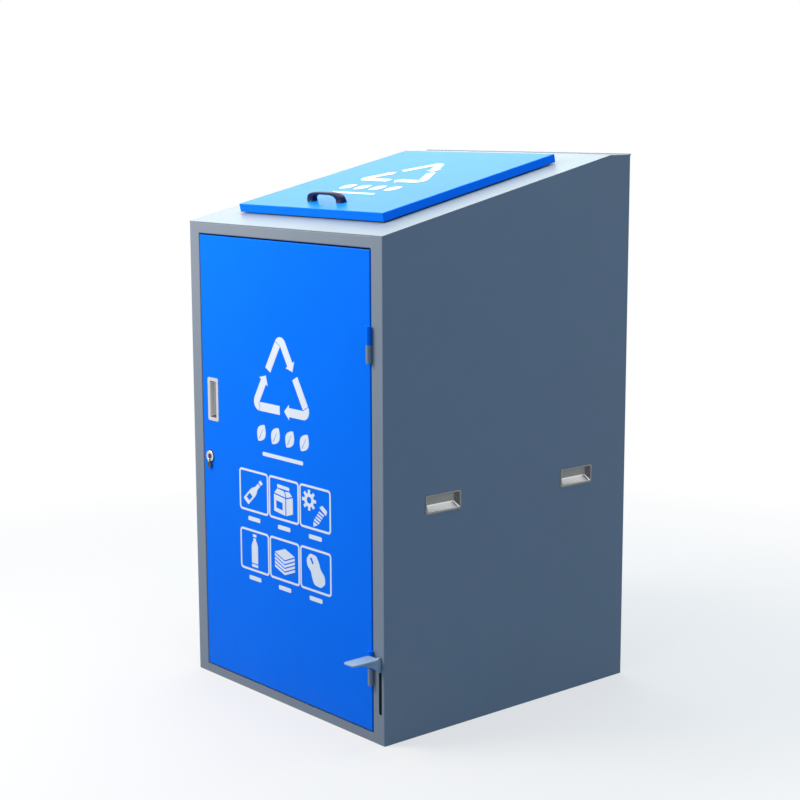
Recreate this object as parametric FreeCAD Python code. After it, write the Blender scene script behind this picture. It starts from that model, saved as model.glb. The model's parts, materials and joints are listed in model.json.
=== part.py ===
import FreeCAD, Part
import math
import os

# Outdoor recycling bin: a folded sheet-steel housing with a sloped top, a flush door, a lid that a foot pedal
# lifts through a push rod, and a wheeled bin inside. Millimetres, +Z up, front towards -Y, origin on the ground
# under the middle of the housing.

V = FreeCAD.Vector

# Housing
WIDTH = 700.0
DEPTH = 740.0
FRONT_HEIGHT = 1082.0
SLOPE_RISE = 150.0
LEDGE_DEPTH = 68.0
SHEET = 1.5
INNER_BEND = 1.5
STILE_WIDTH = 38.0
TOP_RAIL_HEIGHT = 27.0
TOP_RAIL_FLANGE = 30.0
STOP_LIP = 12.0
REAR_FLANGE = 22.0
TOP_FLANGE = 20.0
BASE_RAIL_HEIGHT = 20.0
BASE_RAIL_WIDTH = 40.0
ANCHOR_RADIUS = 6.0
ANCHOR_INSET = 120.0
DRAIN_RADIUS = 8.0
DRAIN_SPACING = 240.0

# Clearances
FIT_GAP = 0.5
SEAT_GAP = 0.3
RUNNING_GAP = 0.08
TIGHT_GAP = 0.02

# Door
DOOR_GAP = 3.0
DOOR_DEPTH = 20.0
DOOR_SHEET = 1.5
DOOR_RETURN = 16.0
DOOR_EDGE_RADIUS = 2.0
DOOR_SEAL = 3.0
RIB_WIDTH = 36.0
RIB_FLANGE = 12.0
DOOR_RIB_DEPTH = 14.0
DOOR_RIB_INSET = 250.0
PULL_RIB_GAP = 50.0
DOOR_RIB_END_GAP = 18.0

# Door hinges
BARREL_RADIUS = 6.0
BARREL_LENGTH = 76.0
BARREL_PROUD = 5.0
BARREL_INSET = 1.5
HINGE_PIN_RADIUS = 3.0
WING_LENGTH = 9.0
WING_THICKNESS = 3.0
UPPER_HINGE_INSET = 195.0
LOWER_HINGE_INSET = 142.0

# Flush pulls
PULL_LENGTH = 102.0
PULL_WIDTH = 42.0
PULL_RIM = 6.0
PULL_PROUD = 1.5
PULL_DEPTH = 13.0
PULL_WALL = 1.2
PULL_CORNER = 4.0
DOOR_PULL_INSET = 42.5
DOOR_PULL_HEIGHT = 671.0
SIDE_PULL_INSET = 166.0
SIDE_PULL_HEIGHT = 507.0

# Cam lock
LOCK_INSET = 26.0
LOCK_HEIGHT = 534.0
LOCK_FACE_RADIUS = 13.5
LOCK_PROUD = 4.0
LOCK_BARREL_RADIUS = 9.0
LOCK_PLUG_RADIUS = 6.0
LOCK_NUT_RADIUS = 13.0
LOCK_NUT_THICKNESS = 5.0
KEYWAY_WIDTH = 2.0
KEYWAY_LENGTH = 8.0
KEYWAY_DEPTH = 6.0
CAM_CATCH = 14.0
CAM_WIDTH = 14.0
CAM_THICKNESS = 3.0
CAM_SCREW_RADIUS = 2.0
CAM_SCREW_HEAD = 4.0
CAM_SCREW_LENGTH = 10.0
COVER_RADIUS = 7.5
COVER_DROP = 10.0
COVER_EAR_RADIUS = 3.6
COVER_THICKNESS = 1.2
RIVET_RADIUS = 1.5
RIVET_HEAD_RADIUS = 2.8
RIVET_HEAD_HEIGHT = 1.0

# Lid and chute
LID_SIDE_MARGIN = 91.0
LID_FRONT_MARGIN = 84.0
LID_REAR_MARGIN = 84.0
LID_HEIGHT = 22.0
LID_SHEET = 1.5
LID_LIFT = 3.0
LID_EDGE_RADIUS = 2.0
LID_RIB_DEPTH = 9.0
CHUTE_SIDE_LAP = 30.0
CHUTE_FRONT_LAP = 40.0
CHUTE_REAR_LAP = 46.0
CHUTE_LIP = 12.0
CHUTE_SEAL_GRIP = 7.0
CHUTE_SEAL_WALL = 2.2

# Lid hinges
LID_HINGE_INSET = 92.0
LID_HINGE_WIDTH = 60.0
LID_KNUCKLE_RADIUS = 4.0
LID_KNUCKLE_END = 18.0
LID_PIN_RADIUS = 2.0
LID_HINGE_SETBACK = 5.0
LID_HINGE_RISE = 6.5
LEAF_LENGTH = 30.0
LEAF_THICKNESS = 2.0
LEAF_RIVET_RADIUS = 2.0
LEAF_RIVET_HEAD = 4.0
LEAF_RIVET_HEIGHT = 1.5
LEAF_RIVET_INSET = 12.0

# Lid handle
HANDLE_LENGTH = 130.0
HANDLE_HEIGHT = 25.0
HANDLE_WIDTH = 20.0
HANDLE_THICKNESS = 8.0
HANDLE_SPLAY = 9.0
HANDLE_FOOT = 22.0
HANDLE_FOOT_HEIGHT = 5.0
HANDLE_SETBACK = 57.0
HANDLE_EDGE_RADIUS = 1.8
SCREW_RADIUS = 2.5
SCREW_HEAD_RADIUS = 5.0
SCREW_HEAD_HEIGHT = 3.0
SCREW_BITE = 4.0

# Pedal and lift linkage
LID_OPEN_ANGLE = 60.0
PEDAL_ANGLE = 20.0
LIFT_RADIUS = 84.0
LIFT_END_DROP = 8.0
HORN_THICKNESS = 4.0
HORN_INSET = 15.0
HORN_FLANGE = 26.0
HORN_FLANGE_THICKNESS = 3.0
HORN_CLEARANCE = 7.0
HORN_REACH = 125.0
HORN_TOE_ANGLE = 4.0
PEDAL_INSET = 14.0
PEDAL_HEIGHT = 198.0
LEVER_THICKNESS = 6.0
LEVER_HEIGHT = 34.0
LEVER_TAIL_HEIGHT = 24.0
LEVER_TAIL = 14.0
SLOT_CLEARANCE = 2.0
PLATE_WIDTH = 36.0
PLATE_LENGTH = 70.0
PLATE_THICKNESS = 4.0
PLATE_STANDOFF = 16.0
PLATE_CORNER = 3.0
GUSSET_LENGTH = 66.0
GUSSET_TOE = 4.0
GUSSET_SAG = 5.0
PIVOT_RADIUS = 5.0
PIVOT_HEAD_RADIUS = 8.0
PIVOT_HEAD_HEIGHT = 4.0
BUSH_WALL = 2.0
BRACKET_SHEET = 3.0
BRACKET_GAP = 12.0
BRACKET_WIDTH = 40.0
BRACKET_HEAD = 14.0
CLIP_THICKNESS = 1.2
CLIP_WIDTH = 3.0
ROD_RADIUS = 5.0
ROD_BEND = 22.0
ROD_END = 62.0
CAP_RADIUS = 9.0
CAP_HEIGHT = 14.0
CAP_SOCKET = 9.0
CLEVIS_WIDTH = 20.0
CLEVIS_DEPTH = 16.0
CLEVIS_HEAD = 10.0
CLEVIS_FOOT = 9.0
CLEVIS_PIN_RADIUS = 4.0
CLEVIS_PIN_HEAD = 1.0
LOWER_GUIDE_HEIGHT = 330.0
UPPER_GUIDE_DROP = 150.0
GUIDE_WIDTH = 30.0
GUIDE_LEG = 40.0
GUIDE_SHEET = 3.0
GUIDE_BUSH_WALL = 3.0
GUIDE_BUSH_LENGTH = 14.0

# Wheeled bin inside
BIN_SIDE_GAP = 72.0
BIN_FRONT_GAP = 45.0
BIN_REAR_GAP = 150.0
BIN_HEADROOM = 152.0
BIN_RIM = 16.0
BIN_RIM_HEIGHT = 28.0
BIN_WALL = 4.0
BIN_TAPER = 30.0
BIN_HEEL_TAPER = 70.0
BIN_CORNER = 40.0
BIN_FOOT = 14.0
BIN_FOOT_WIDTH = 30.0
BIN_FOOT_INSET = 45.0
BIN_GRIP_RADIUS = 11.0
BIN_GRIP_REACH = 40.0
BIN_GRIP_HALF = 140.0
BIN_GRIP_ARM = 20.0
WHEEL_RADIUS = 90.0
WHEEL_WIDTH = 34.0
WHEEL_SIDE_GAP = 12.0
WHEEL_EDGE_RADIUS = 6.0
WHEEL_RIM_RADIUS = 66.0
WHEEL_HUB_RADIUS = 22.0
WHEEL_DISH = 10.0
AXLE_RADIUS = 9.0
AXLE_SETBACK = 24.0
AXLE_LUG_WIDTH = 30.0
AXLE_LUG_INSET = 45.0
AXLE_LUG_WALL = 9.0
AXLE_CAP_RADIUS = 16.0
AXLE_CAP_WIDTH = 5.0

# How far a cutting tool reaches past what it cuts
OVERCUT = 5.0

# Places that follow from the sizes
FRONT_Y = -DEPTH / 2
REAR_Y = DEPTH / 2
SIDE_X = WIDTH / 2
REAR_HEIGHT = FRONT_HEIGHT + SLOPE_RISE
SLOPE = math.atan2(SLOPE_RISE, DEPTH - LEDGE_DEPTH)
SLOPE_LENGTH = math.hypot(SLOPE_RISE, DEPTH - LEDGE_DEPTH)
WALL_X = SIDE_X - SHEET
BACK_Y = REAR_Y - 2 * SHEET
FLOOR_TOP = BASE_RAIL_HEIGHT + SHEET
OPENING_X = SIDE_X - STILE_WIDTH
OPENING_TOP = FRONT_HEIGHT - TOP_RAIL_HEIGHT
RETURN_DEPTH = DOOR_DEPTH + SEAT_GAP + DOOR_SEAL
STOP_Y = FRONT_Y + RETURN_DEPTH

DOOR_X = OPENING_X - DOOR_GAP
DOOR_TOP = OPENING_TOP - DOOR_GAP
DOOR_BOTTOM = BASE_RAIL_HEIGHT + DOOR_GAP
HINGE_X = OPENING_X - BARREL_INSET
HINGE_Y = FRONT_Y - BARREL_PROUD
HINGE_HEIGHTS = {"upper": DOOR_TOP - UPPER_HINGE_INSET, "lower": DOOR_BOTTOM + LOWER_HINGE_INSET}
LOCK_X = -DOOR_X + LOCK_INSET
LOCK_REAR = RETURN_DEPTH + SHEET + FIT_GAP
CAM_LENGTH = LOCK_INSET + DOOR_GAP + CAM_CATCH

LID_X = SIDE_X - LID_SIDE_MARGIN
LID_FRONT = LID_FRONT_MARGIN
LID_REAR = SLOPE_LENGTH - LID_REAR_MARGIN
LID_UNDER = LID_HEIGHT - LID_SHEET
CHUTE_X = LID_X - CHUTE_SIDE_LAP
CHUTE_FRONT = LID_FRONT + CHUTE_FRONT_LAP
CHUTE_REAR = LID_REAR - CHUTE_REAR_LAP
LID_AXIS_S = LID_REAR + LID_HINGE_SETBACK
LID_AXIS_Y = FRONT_Y + LID_AXIS_S * math.cos(SLOPE) - LID_HINGE_RISE * math.sin(SLOPE)
LID_AXIS_Z = FRONT_HEIGHT + LID_AXIS_S * math.sin(SLOPE) + LID_HINGE_RISE * math.cos(SLOPE)
LID_HINGES = {"left": -LID_X + LID_HINGE_INSET, "right": LID_X - LID_HINGE_INSET}
HANDLE_S = LID_FRONT + HANDLE_SETBACK

# The lid's angle lifts the rod by an involute, so rise and angle keep one ratio; the lever's arm then follows.
ROD_RISE = LIFT_RADIUS * math.radians(LID_OPEN_ANGLE)
TILT = math.radians(PEDAL_ANGLE / 2)
ROD_ARM = ROD_RISE / (2 * math.tan(TILT))
ROD_Y = LID_AXIS_Y - LIFT_RADIUS
ROD_TOP = LID_AXIS_Z - LIFT_END_DROP - ROD_RISE - SEAT_GAP
HORN_X = CHUTE_X - HORN_INSET
PEDAL_X = SIDE_X - PEDAL_INSET
PIVOT_Y = ROD_Y - ROD_ARM
SLOT_ARM = PIVOT_Y - FRONT_Y
PLATE_UNDER = PEDAL_HEIGHT - PLATE_THICKNESS
PIVOT_Z = PLATE_UNDER - LEVER_HEIGHT / 2 - SLOT_ARM * math.tan(TILT)
CLEVIS_Z = PIVOT_Z - ROD_ARM * math.tan(TILT)
CLEVIS_CROTCH = LEVER_TAIL_HEIGHT / 2 + CLEVIS_DEPTH / 2 * math.tan(TILT) + FIT_GAP
SLOT_TOP = PLATE_UNDER + SLOT_CLEARANCE
SLOT_BOTTOM = PIVOT_Z - SLOT_ARM * math.tan(TILT) - LEVER_HEIGHT / 2 - SLOT_CLEARANCE
GUIDE_HEIGHTS = {"lower": LOWER_GUIDE_HEIGHT, "upper": FRONT_HEIGHT - UPPER_GUIDE_DROP}

BIN_X = OPENING_X - BIN_SIDE_GAP
BIN_FRONT = FRONT_Y + BIN_FRONT_GAP
BIN_REAR = REAR_Y - BIN_REAR_GAP
BIN_TOP = FRONT_HEIGHT - BIN_HEADROOM
BIN_BOTTOM = FLOOR_TOP + BIN_FOOT
BIN_FLOOR_X = BIN_X - BIN_RIM - BIN_TAPER
BIN_HEEL = BIN_REAR - BIN_RIM - BIN_HEEL_TAPER
AXLE_Y = BIN_HEEL + AXLE_SETBACK
AXLE_Z = FLOOR_TOP + SEAT_GAP + WHEEL_RADIUS
WHEEL_INNER_X = BIN_FLOOR_X + WHEEL_SIDE_GAP
WHEEL_OUTER_X = WHEEL_INNER_X + WHEEL_WIDTH

# Turns that set a piece drawn flat onto the housing
FACING_FRONT = FreeCAD.Rotation(V(1, 0, 0), 90)
FACING_RIGHT = FreeCAD.Rotation(V(0, 1, 0), 90)
SECTION_YZ = FreeCAD.Rotation(V(1, 1, 1), 120)
SECTION_ZY = FreeCAD.Rotation(V(0, 0, 1), V(0, -1, 0), V(1, 0, 0), "ZXY")
ON_SLOPE = FreeCAD.Placement(V(0, FRONT_Y, FRONT_HEIGHT), FreeCAD.Rotation(V(1, 0, 0), math.degrees(SLOPE)))


def box(x0, x1, y0, y1, z0, z1):
    """Block between two corners."""
    return Part.makeBox(x1 - x0, y1 - y0, z1 - z0, V(x0, y0, z0))


def bar(start, end, radius):
    """Round bar between two points."""
    run = end - start
    return Part.makeCylinder(radius, run.Length, start, run)


def prism(points, run):
    """Straight solid with the closed outline through points, pushed along run."""
    return Part.Face(Part.makePolygon(points + points[:1])).extrude(run)


def joined(first, *others):
    """One solid from pieces that meet, without seams between flush faces."""
    return first.fuse(list(others)).removeSplitter()


def placed(shape, rotation, origin):
    """Copy of a shape turned about its own origin and moved there."""
    copy = shape.copy()
    copy.Placement = FreeCAD.Placement(origin, rotation).multiply(copy.Placement)
    return copy


def on_slope(shape):
    """Copy of a shape drawn as (x, along the slope, above the slope), set on the housing's top."""
    copy = shape.copy()
    copy.Placement = ON_SLOPE.multiply(copy.Placement)
    return copy


def mirrored(shape):
    """Left-hand copy of a right-hand piece."""
    return shape.mirror(V(0, 0, 0), V(1, 0, 0))


def rounded_path(points, radii):
    """Edges along an open line of points, with each inner corner rounded by its radius."""
    edges = []
    start = points[0]
    for before, corner, after, radius in zip(points, points[1:], points[2:], radii):
        into = (corner - before).normalize()
        out = (after - corner).normalize()
        half_turn = into.getAngle(out) / 2
        inward = (out - into).normalize()
        centre = corner + inward * (radius / math.cos(half_turn))
        entry = corner - into * (radius * math.tan(half_turn))
        leave = corner + out * (radius * math.tan(half_turn))
        edges.append(Part.makeLine(start, entry))
        edges.append(Part.Arc(entry, centre - inward * radius, leave).toShape())
        start = leave
    edges.append(Part.makeLine(start, points[-1]))
    return edges


def folded_sheet(outline, thickness, length):
    """Folded sheet pushed along +Z: it lies to the left of the line through the (x, y) outline."""
    near = [V(x, y, 0) for x, y in outline]
    runs = [(end - start).normalize() for start, end in zip(near, near[1:])]
    lefts = [V(-run.y, run.x, 0) for run in runs]
    far = [near[0] + lefts[0] * thickness]
    near_radii = []
    far_radii = []
    for index, corner in enumerate(near[1:-1]):
        before, after = lefts[index], lefts[index + 1]
        far.append(corner + (before + after) * (thickness / (1 + before.dot(after))))
        turns_left = runs[index].cross(runs[index + 1]).z > 0
        near_radii.append(INNER_BEND + thickness if turns_left else INNER_BEND)
        far_radii.append(INNER_BEND if turns_left else INNER_BEND + thickness)
    far.append(near[-1] + lefts[-1] * thickness)
    edges = rounded_path(near, near_radii)
    edges.append(Part.makeLine(near[-1], far[-1]))
    edges += rounded_path(far[::-1], far_radii[::-1])
    edges.append(Part.makeLine(far[0], near[0]))
    return Part.Face(Part.Wire(edges)).extrude(V(0, 0, length))


def hat_rib(depth, thickness, length):
    """Top-hat stiffener along +Z: its flanges lie under y = 0 and its crown points to -y."""
    half = RIB_WIDTH / 2
    crown = thickness - depth
    outline = [(half + RIB_FLANGE, 0), (half, 0), (half, crown), (-half, crown), (-half, 0), (-half - RIB_FLANGE, 0)]
    return folded_sheet(outline, thickness, length)


def rounded_block(half_x, half_y, low, high, radius):
    """Block about the Z axis with its four upright edges rounded."""
    block = box(-half_x, half_x, -half_y, half_y, low, high)
    upright = [edge for edge in block.Edges if edge.BoundBox.ZLength > (high - low) / 2]
    return block.makeFillet(radius, upright)


def roof_line(cover):
    """(y, z) points of the roof section from front to rear, lowered by cover square to each face."""
    front_z = FRONT_HEIGHT - cover / math.cos(SLOPE)
    rear_z = REAR_HEIGHT - cover
    break_y = FRONT_Y + (rear_z - front_z) / math.tan(SLOPE)
    return [(FRONT_Y, front_z), (break_y, rear_z), (REAR_Y, rear_z)]


def roof_sheet(cover, thickness, x0, x1):
    """Sheet under the roof line from x0 to x1, its upper face lowered by cover."""
    section = roof_line(cover) + roof_line(cover + thickness)[::-1]
    return prism([V(x0, y, z) for y, z in section], V(x1 - x0, 0, 0))


def above_roof(cover):
    """Everything above the roof line lowered by cover, to trim walls with."""
    line = roof_line(cover)
    start_y = FRONT_Y - OVERCUT
    end_y = REAR_Y + OVERCUT
    start_z = line[0][1] - OVERCUT * math.tan(SLOPE)
    sky = REAR_HEIGHT + OVERCUT
    section = [(start_y, start_z), line[1], (end_y, line[2][1]), (end_y, sky), (start_y, sky)]
    reach = SIDE_X + OVERCUT
    return prism([V(-reach, y, z) for y, z in section], V(2 * reach, 0, 0))


def hinge_pocket(height):
    """Round notch that a hinge barrel turns in."""
    low = V(HINGE_X, HINGE_Y, height - BARREL_LENGTH / 2 - FIT_GAP)
    return bar(low, low + V(0, 0, BARREL_LENGTH + 2 * FIT_GAP), BARREL_RADIUS + FIT_GAP)


def hinge_wing(height, on_door):
    """Flat wing that fastens one half of a hinge: the door's half is above the frame's."""
    sign = -1 if on_door else 1
    ends = sorted([HINGE_X, HINGE_X + sign * WING_LENGTH])
    low = height + SEAT_GAP if on_door else height - BARREL_LENGTH / 2
    high = height + BARREL_LENGTH / 2 if on_door else height
    return box(ends[0], ends[1], FRONT_Y, FRONT_Y + WING_THICKNESS, low, high)


def hinge_half(height, on_door):
    """One half of a lift-off hinge: a bored barrel and its wing."""
    wing = hinge_wing(height, on_door)
    low = V(HINGE_X, HINGE_Y, wing.BoundBox.ZMin)
    high = V(HINGE_X, HINGE_Y, wing.BoundBox.ZMax)
    gap = RUNNING_GAP if on_door else TIGHT_GAP
    return joined(bar(low, high, BARREL_RADIUS), wing).cut(bar(low, high, HINGE_PIN_RADIUS + gap))


def hinge_pin(height):
    """Pin of a lift-off hinge, held in the frame's half."""
    half = BARREL_LENGTH / 2
    return bar(V(HINGE_X, HINGE_Y, height - half), V(HINGE_X, HINGE_Y, height + half), HINGE_PIN_RADIUS)


def pull_cup(grow):
    """Outside of a flush pull's cup, made larger all round by grow."""
    half_x = PULL_WIDTH / 2 - PULL_RIM + grow
    half_y = PULL_LENGTH / 2 - PULL_RIM + grow
    return rounded_block(half_x, half_y, -PULL_DEPTH - grow, PULL_PROUD + OVERCUT, PULL_CORNER)


def flush_pull():
    """Flush pull facing +Z, long along Y: a flat rim with a finger cup behind it."""
    rim = rounded_block(PULL_WIDTH / 2, PULL_LENGTH / 2, 0, PULL_PROUD, PULL_CORNER)
    below = box(-PULL_WIDTH, PULL_WIDTH, -PULL_LENGTH, PULL_LENGTH, -PULL_DEPTH - OVERCUT, 0)
    return joined(rim, pull_cup(PULL_WALL).common(below)).cut(pull_cup(0))


def side_pull_places():
    """Origins of the two flush pulls on the right side."""
    return {
        "front": V(SIDE_X, FRONT_Y + SIDE_PULL_INSET, SIDE_PULL_HEIGHT),
        "rear": V(SIDE_X, REAR_Y - SIDE_PULL_INSET, SIDE_PULL_HEIGHT),
    }


def side_panel_blank():
    """Right side wall with the front stile, its door stop, the rear flange and the top flange."""
    outline = [
        (OPENING_X - STOP_LIP, STOP_Y),
        (OPENING_X, STOP_Y),
        (OPENING_X, FRONT_Y),
        (SIDE_X, FRONT_Y),
        (SIDE_X, REAR_Y),
        (SIDE_X - REAR_FLANGE, REAR_Y),
    ]
    panel = folded_sheet(outline, SHEET, REAR_HEIGHT).cut(above_roof(SHEET))
    lip_x = OPENING_X - STOP_LIP - OVERCUT
    lip_y = STOP_Y - INNER_BEND - FIT_GAP
    lip_back = STOP_Y + SHEET + OVERCUT
    panel = panel.cut(box(lip_x, OPENING_X, lip_y, lip_back, 0, BASE_RAIL_HEIGHT + FIT_GAP))
    panel = panel.cut(box(lip_x, OPENING_X, lip_y, lip_back, OPENING_TOP - FIT_GAP, REAR_HEIGHT))
    flange = roof_sheet(SHEET, SHEET, WALL_X - TOP_FLANGE, SIDE_X - SHEET / 2)
    ends = box(0, SIDE_X, FRONT_Y + SHEET, BACK_Y - FIT_GAP, 0, REAR_HEIGHT)
    panel = joined(panel, flange.common(ends))
    for place in side_pull_places().values():
        panel = panel.cut(placed(pull_cup(PULL_WALL), FACING_RIGHT, place))
    return panel


def pedal_slot():
    """Upright round-ended slot in the right stile for the pedal's lever."""
    half = LEVER_THICKNESS / 2 + SLOT_CLEARANCE
    front = FRONT_Y - OVERCUT
    back = FRONT_Y + SHEET + FIT_GAP
    ends = [V(PEDAL_X, front, SLOT_BOTTOM + half), V(PEDAL_X, front, SLOT_TOP - half)]
    through = V(0, back - front, 0)
    middle = box(PEDAL_X - half, PEDAL_X + half, front, back, ends[0].z, ends[1].z)
    return joined(middle, *[bar(end, end + through, half) for end in ends])


def right_side_panel():
    """Right side wall with the pedal slot and the pockets for the door hinges."""
    panel = side_panel_blank().cut(pedal_slot())
    for height in HINGE_HEIGHTS.values():
        panel = panel.cut(hinge_pocket(height)).cut(hinge_wing(height, False))
    return panel


def back_panel():
    """Rear wall inside the rear flanges."""
    half = WALL_X - INNER_BEND - FIT_GAP
    return box(-half, half, BACK_Y, REAR_Y - SHEET, 0, REAR_HEIGHT).cut(above_roof(SHEET))


def ring(half_x, front, rear, low, high, wall):
    """Upright frame on the slope round an opening of the given inside size."""
    outer = box(-half_x - wall, half_x + wall, front - wall, rear + wall, low, high)
    return outer.cut(box(-half_x, half_x, front, rear, low - OVERCUT, high + OVERCUT))


def chute_lip():
    """Upturned edge round the chute, drawn on the slope."""
    return ring(CHUTE_X, CHUTE_FRONT, CHUTE_REAR, -SHEET, CHUTE_LIP, SHEET)


def leaf_rivet_places():
    """(x, s) places of the rivets that hold the fixed hinge leaves."""
    reach = LID_HINGE_WIDTH / 2 - LEAF_RIVET_INSET
    s = LID_AXIS_S + LEAF_LENGTH - LEAF_RIVET_INSET
    return [(x + side * reach, s) for x in LID_HINGES.values() for side in (-1, 1)]


def leaf_rivet_holes():
    """Holes of the hinge rivets, drawn on the slope."""
    radius = LEAF_RIVET_RADIUS + TIGHT_GAP
    low, high = -SHEET - OVERCUT, LEAF_THICKNESS + OVERCUT
    return [bar(V(x, s, low), V(x, s, high), radius) for x, s in leaf_rivet_places()]


def top_panel():
    """Sloped top with its flat rear ledge and the chute's upturned edge."""
    panel = joined(roof_sheet(0, SHEET, -SIDE_X, SIDE_X), on_slope(chute_lip()))
    hole = box(-CHUTE_X, CHUTE_X, CHUTE_FRONT, CHUTE_REAR, -SHEET - OVERCUT, CHUTE_LIP + OVERCUT)
    panel = panel.cut(on_slope(hole))
    for rivet_hole in leaf_rivet_holes():
        panel = panel.cut(on_slope(rivet_hole))
    return panel


def chute_seal():
    """Rubber edge trim on the chute's upturned edge, just under the lid."""
    wall = SHEET + 2 * CHUTE_SEAL_WALL
    inset = CHUTE_SEAL_WALL
    low = CHUTE_LIP - CHUTE_SEAL_GRIP
    trim = ring(CHUTE_X - inset, CHUTE_FRONT + inset, CHUTE_REAR - inset, low, LID_UNDER - SEAT_GAP, wall)
    return on_slope(trim.cut(chute_lip()))


def front_top_rail():
    """Folded rail over the door, with its door stop and a flange under the top panel."""
    front_z = roof_line(SHEET)[0][1]
    outline = [
        (FRONT_Y + TOP_RAIL_FLANGE, front_z + TOP_RAIL_FLANGE * math.tan(SLOPE)),
        (FRONT_Y, front_z),
        (FRONT_Y, OPENING_TOP),
        (STOP_Y, OPENING_TOP),
        (STOP_Y, OPENING_TOP - STOP_LIP),
    ]
    rail = placed(folded_sheet(outline, SHEET, 2 * OPENING_X), SECTION_YZ, V(-OPENING_X, 0, 0))
    corner_x = OPENING_X - STOP_LIP - FIT_GAP
    low = OPENING_TOP - STOP_LIP - OVERCUT
    back = STOP_Y + SHEET + OVERCUT
    for x0, x1 in ((-OPENING_X, -corner_x), (corner_x, OPENING_X)):
        rail = rail.cut(box(x0, x1, STOP_Y - INNER_BEND, back, low, OPENING_TOP))
    return rail


def anchor_places():
    """Ground bolt places under the side rails."""
    x = WALL_X - BASE_RAIL_WIDTH / 2
    y = REAR_Y - ANCHOR_INSET
    return [V(side_x, side_y, 0) for side_x in (-x, x) for side_y in (-y, y)]


def anchor_holes():
    """Upright holes for the ground bolts."""
    high = V(0, 0, FLOOR_TOP + OVERCUT)
    return [bar(place - V(0, 0, OVERCUT), place + high, ANCHOR_RADIUS) for place in anchor_places()]


def base_rail(x0, x1, y0, y1, along_x):
    """Rectangular base tube lying on the ground, open at both ends."""
    end_x = -OVERCUT if along_x else SHEET
    end_y = SHEET if along_x else -OVERCUT
    bore = box(x0 + end_x, x1 - end_x, y0 + end_y, y1 - end_y, SHEET, BASE_RAIL_HEIGHT - SHEET)
    return box(x0, x1, y0, y1, 0, BASE_RAIL_HEIGHT).cut(bore)


def base_rails():
    """The four base tubes."""
    side_in = WALL_X - BASE_RAIL_WIDTH
    front_back = FRONT_Y + BASE_RAIL_WIDTH
    right = base_rail(side_in, WALL_X, front_back, BACK_Y, False)
    for hole in anchor_holes():
        right = right.cut(hole)
    return {
        "base_rail_front": base_rail(-OPENING_X, OPENING_X, FRONT_Y, front_back, True),
        "base_rail_rear": base_rail(-side_in, side_in, BACK_Y - BASE_RAIL_WIDTH, BACK_Y, True),
        "base_rail_right": right,
        "base_rail_left": mirrored(right),
    }


def floor_panel():
    """Floor sheet on the base tubes with drain and anchor holes."""
    half = WALL_X - FIT_GAP
    front = STOP_Y + SHEET + FIT_GAP
    panel = box(-half, half, front, BACK_Y - FIT_GAP, BASE_RAIL_HEIGHT, FLOOR_TOP)
    reach = DRAIN_SPACING / 2
    drains = [V(x, y, 0) for x in (-reach, reach) for y in (-reach, reach)]
    for place in drains:
        panel = panel.cut(bar(place, place + V(0, 0, FLOOR_TOP + OVERCUT), DRAIN_RADIUS))
    for hole in anchor_holes():
        panel = panel.cut(hole)
    return panel


def door_seal():
    """Rubber strip on the door stops: both sides and the top."""
    front = FRONT_Y + DOOR_DEPTH + SEAT_GAP
    outer_x = OPENING_X - INNER_BEND
    inner_x = OPENING_X - STOP_LIP
    top = OPENING_TOP - INNER_BEND
    low = BASE_RAIL_HEIGHT + FIT_GAP
    strip = box(-outer_x, outer_x, front, STOP_Y, low, top)
    window = box(-inner_x, inner_x, front - OVERCUT, STOP_Y + OVERCUT, low - OVERCUT, OPENING_TOP - STOP_LIP)
    return strip.cut(window)


def door_pull_place():
    """Origin of the door's flush pull."""
    return V(-DOOR_X + DOOR_PULL_INSET, FRONT_Y, DOOR_PULL_HEIGHT)


def lock_place():
    """Origin of the lock on the door's face."""
    return V(LOCK_X, FRONT_Y, LOCK_HEIGHT)


def door_skin():
    """Door pan: front sheet, folded edges and a narrow return behind."""
    back = FRONT_Y + DOOR_DEPTH
    skin = box(-DOOR_X, DOOR_X, FRONT_Y, back, DOOR_BOTTOM, DOOR_TOP)
    middle = FRONT_Y + DOOR_DEPTH / 2
    shown = [edge for edge in skin.Edges if edge.BoundBox.YMin < middle]
    skin = skin.makeFillet(DOOR_EDGE_RADIUS, shown)
    inset = DOOR_SHEET
    hollow = box(
        -DOOR_X + inset, DOOR_X - inset, FRONT_Y + inset, back - inset, DOOR_BOTTOM + inset, DOOR_TOP - inset
    )
    edge = DOOR_RETURN
    window = box(
        -DOOR_X + edge, DOOR_X - edge, back - inset - FIT_GAP, back + OVERCUT, DOOR_BOTTOM + edge, DOOR_TOP - edge
    )
    skin = skin.cut(hollow).cut(window)
    for height in HINGE_HEIGHTS.values():
        skin = skin.cut(hinge_pocket(height)).cut(hinge_wing(height, True))
    skin = skin.cut(placed(pull_cup(PULL_WALL), FACING_FRONT, door_pull_place()))
    lock_hole = bar(V(0, 0, OVERCUT), V(0, 0, -DOOR_DEPTH), LOCK_BARREL_RADIUS + SEAT_GAP)
    lock_room = bar(V(0, 0, -DOOR_SHEET), V(0, 0, -DOOR_DEPTH - OVERCUT), LOCK_NUT_RADIUS + FIT_GAP)
    for hole in (lock_hole, lock_room):
        skin = skin.cut(placed(hole, FACING_FRONT, lock_place()))
    return skin


def upper_rib_height():
    """Height of the upper door stiffener, clear above the door's pull."""
    return DOOR_PULL_HEIGHT + PULL_LENGTH / 2 + PULL_RIB_GAP + RIB_WIDTH / 2 + RIB_FLANGE


def door_rib(height):
    """Top-hat stiffener across the inside of the door."""
    half = DOOR_X - DOOR_RIB_END_GAP
    rib = hat_rib(DOOR_RIB_DEPTH, DOOR_SHEET, 2 * half)
    return placed(rib, SECTION_ZY, V(-half, FRONT_Y + DOOR_SHEET, height))


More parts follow.
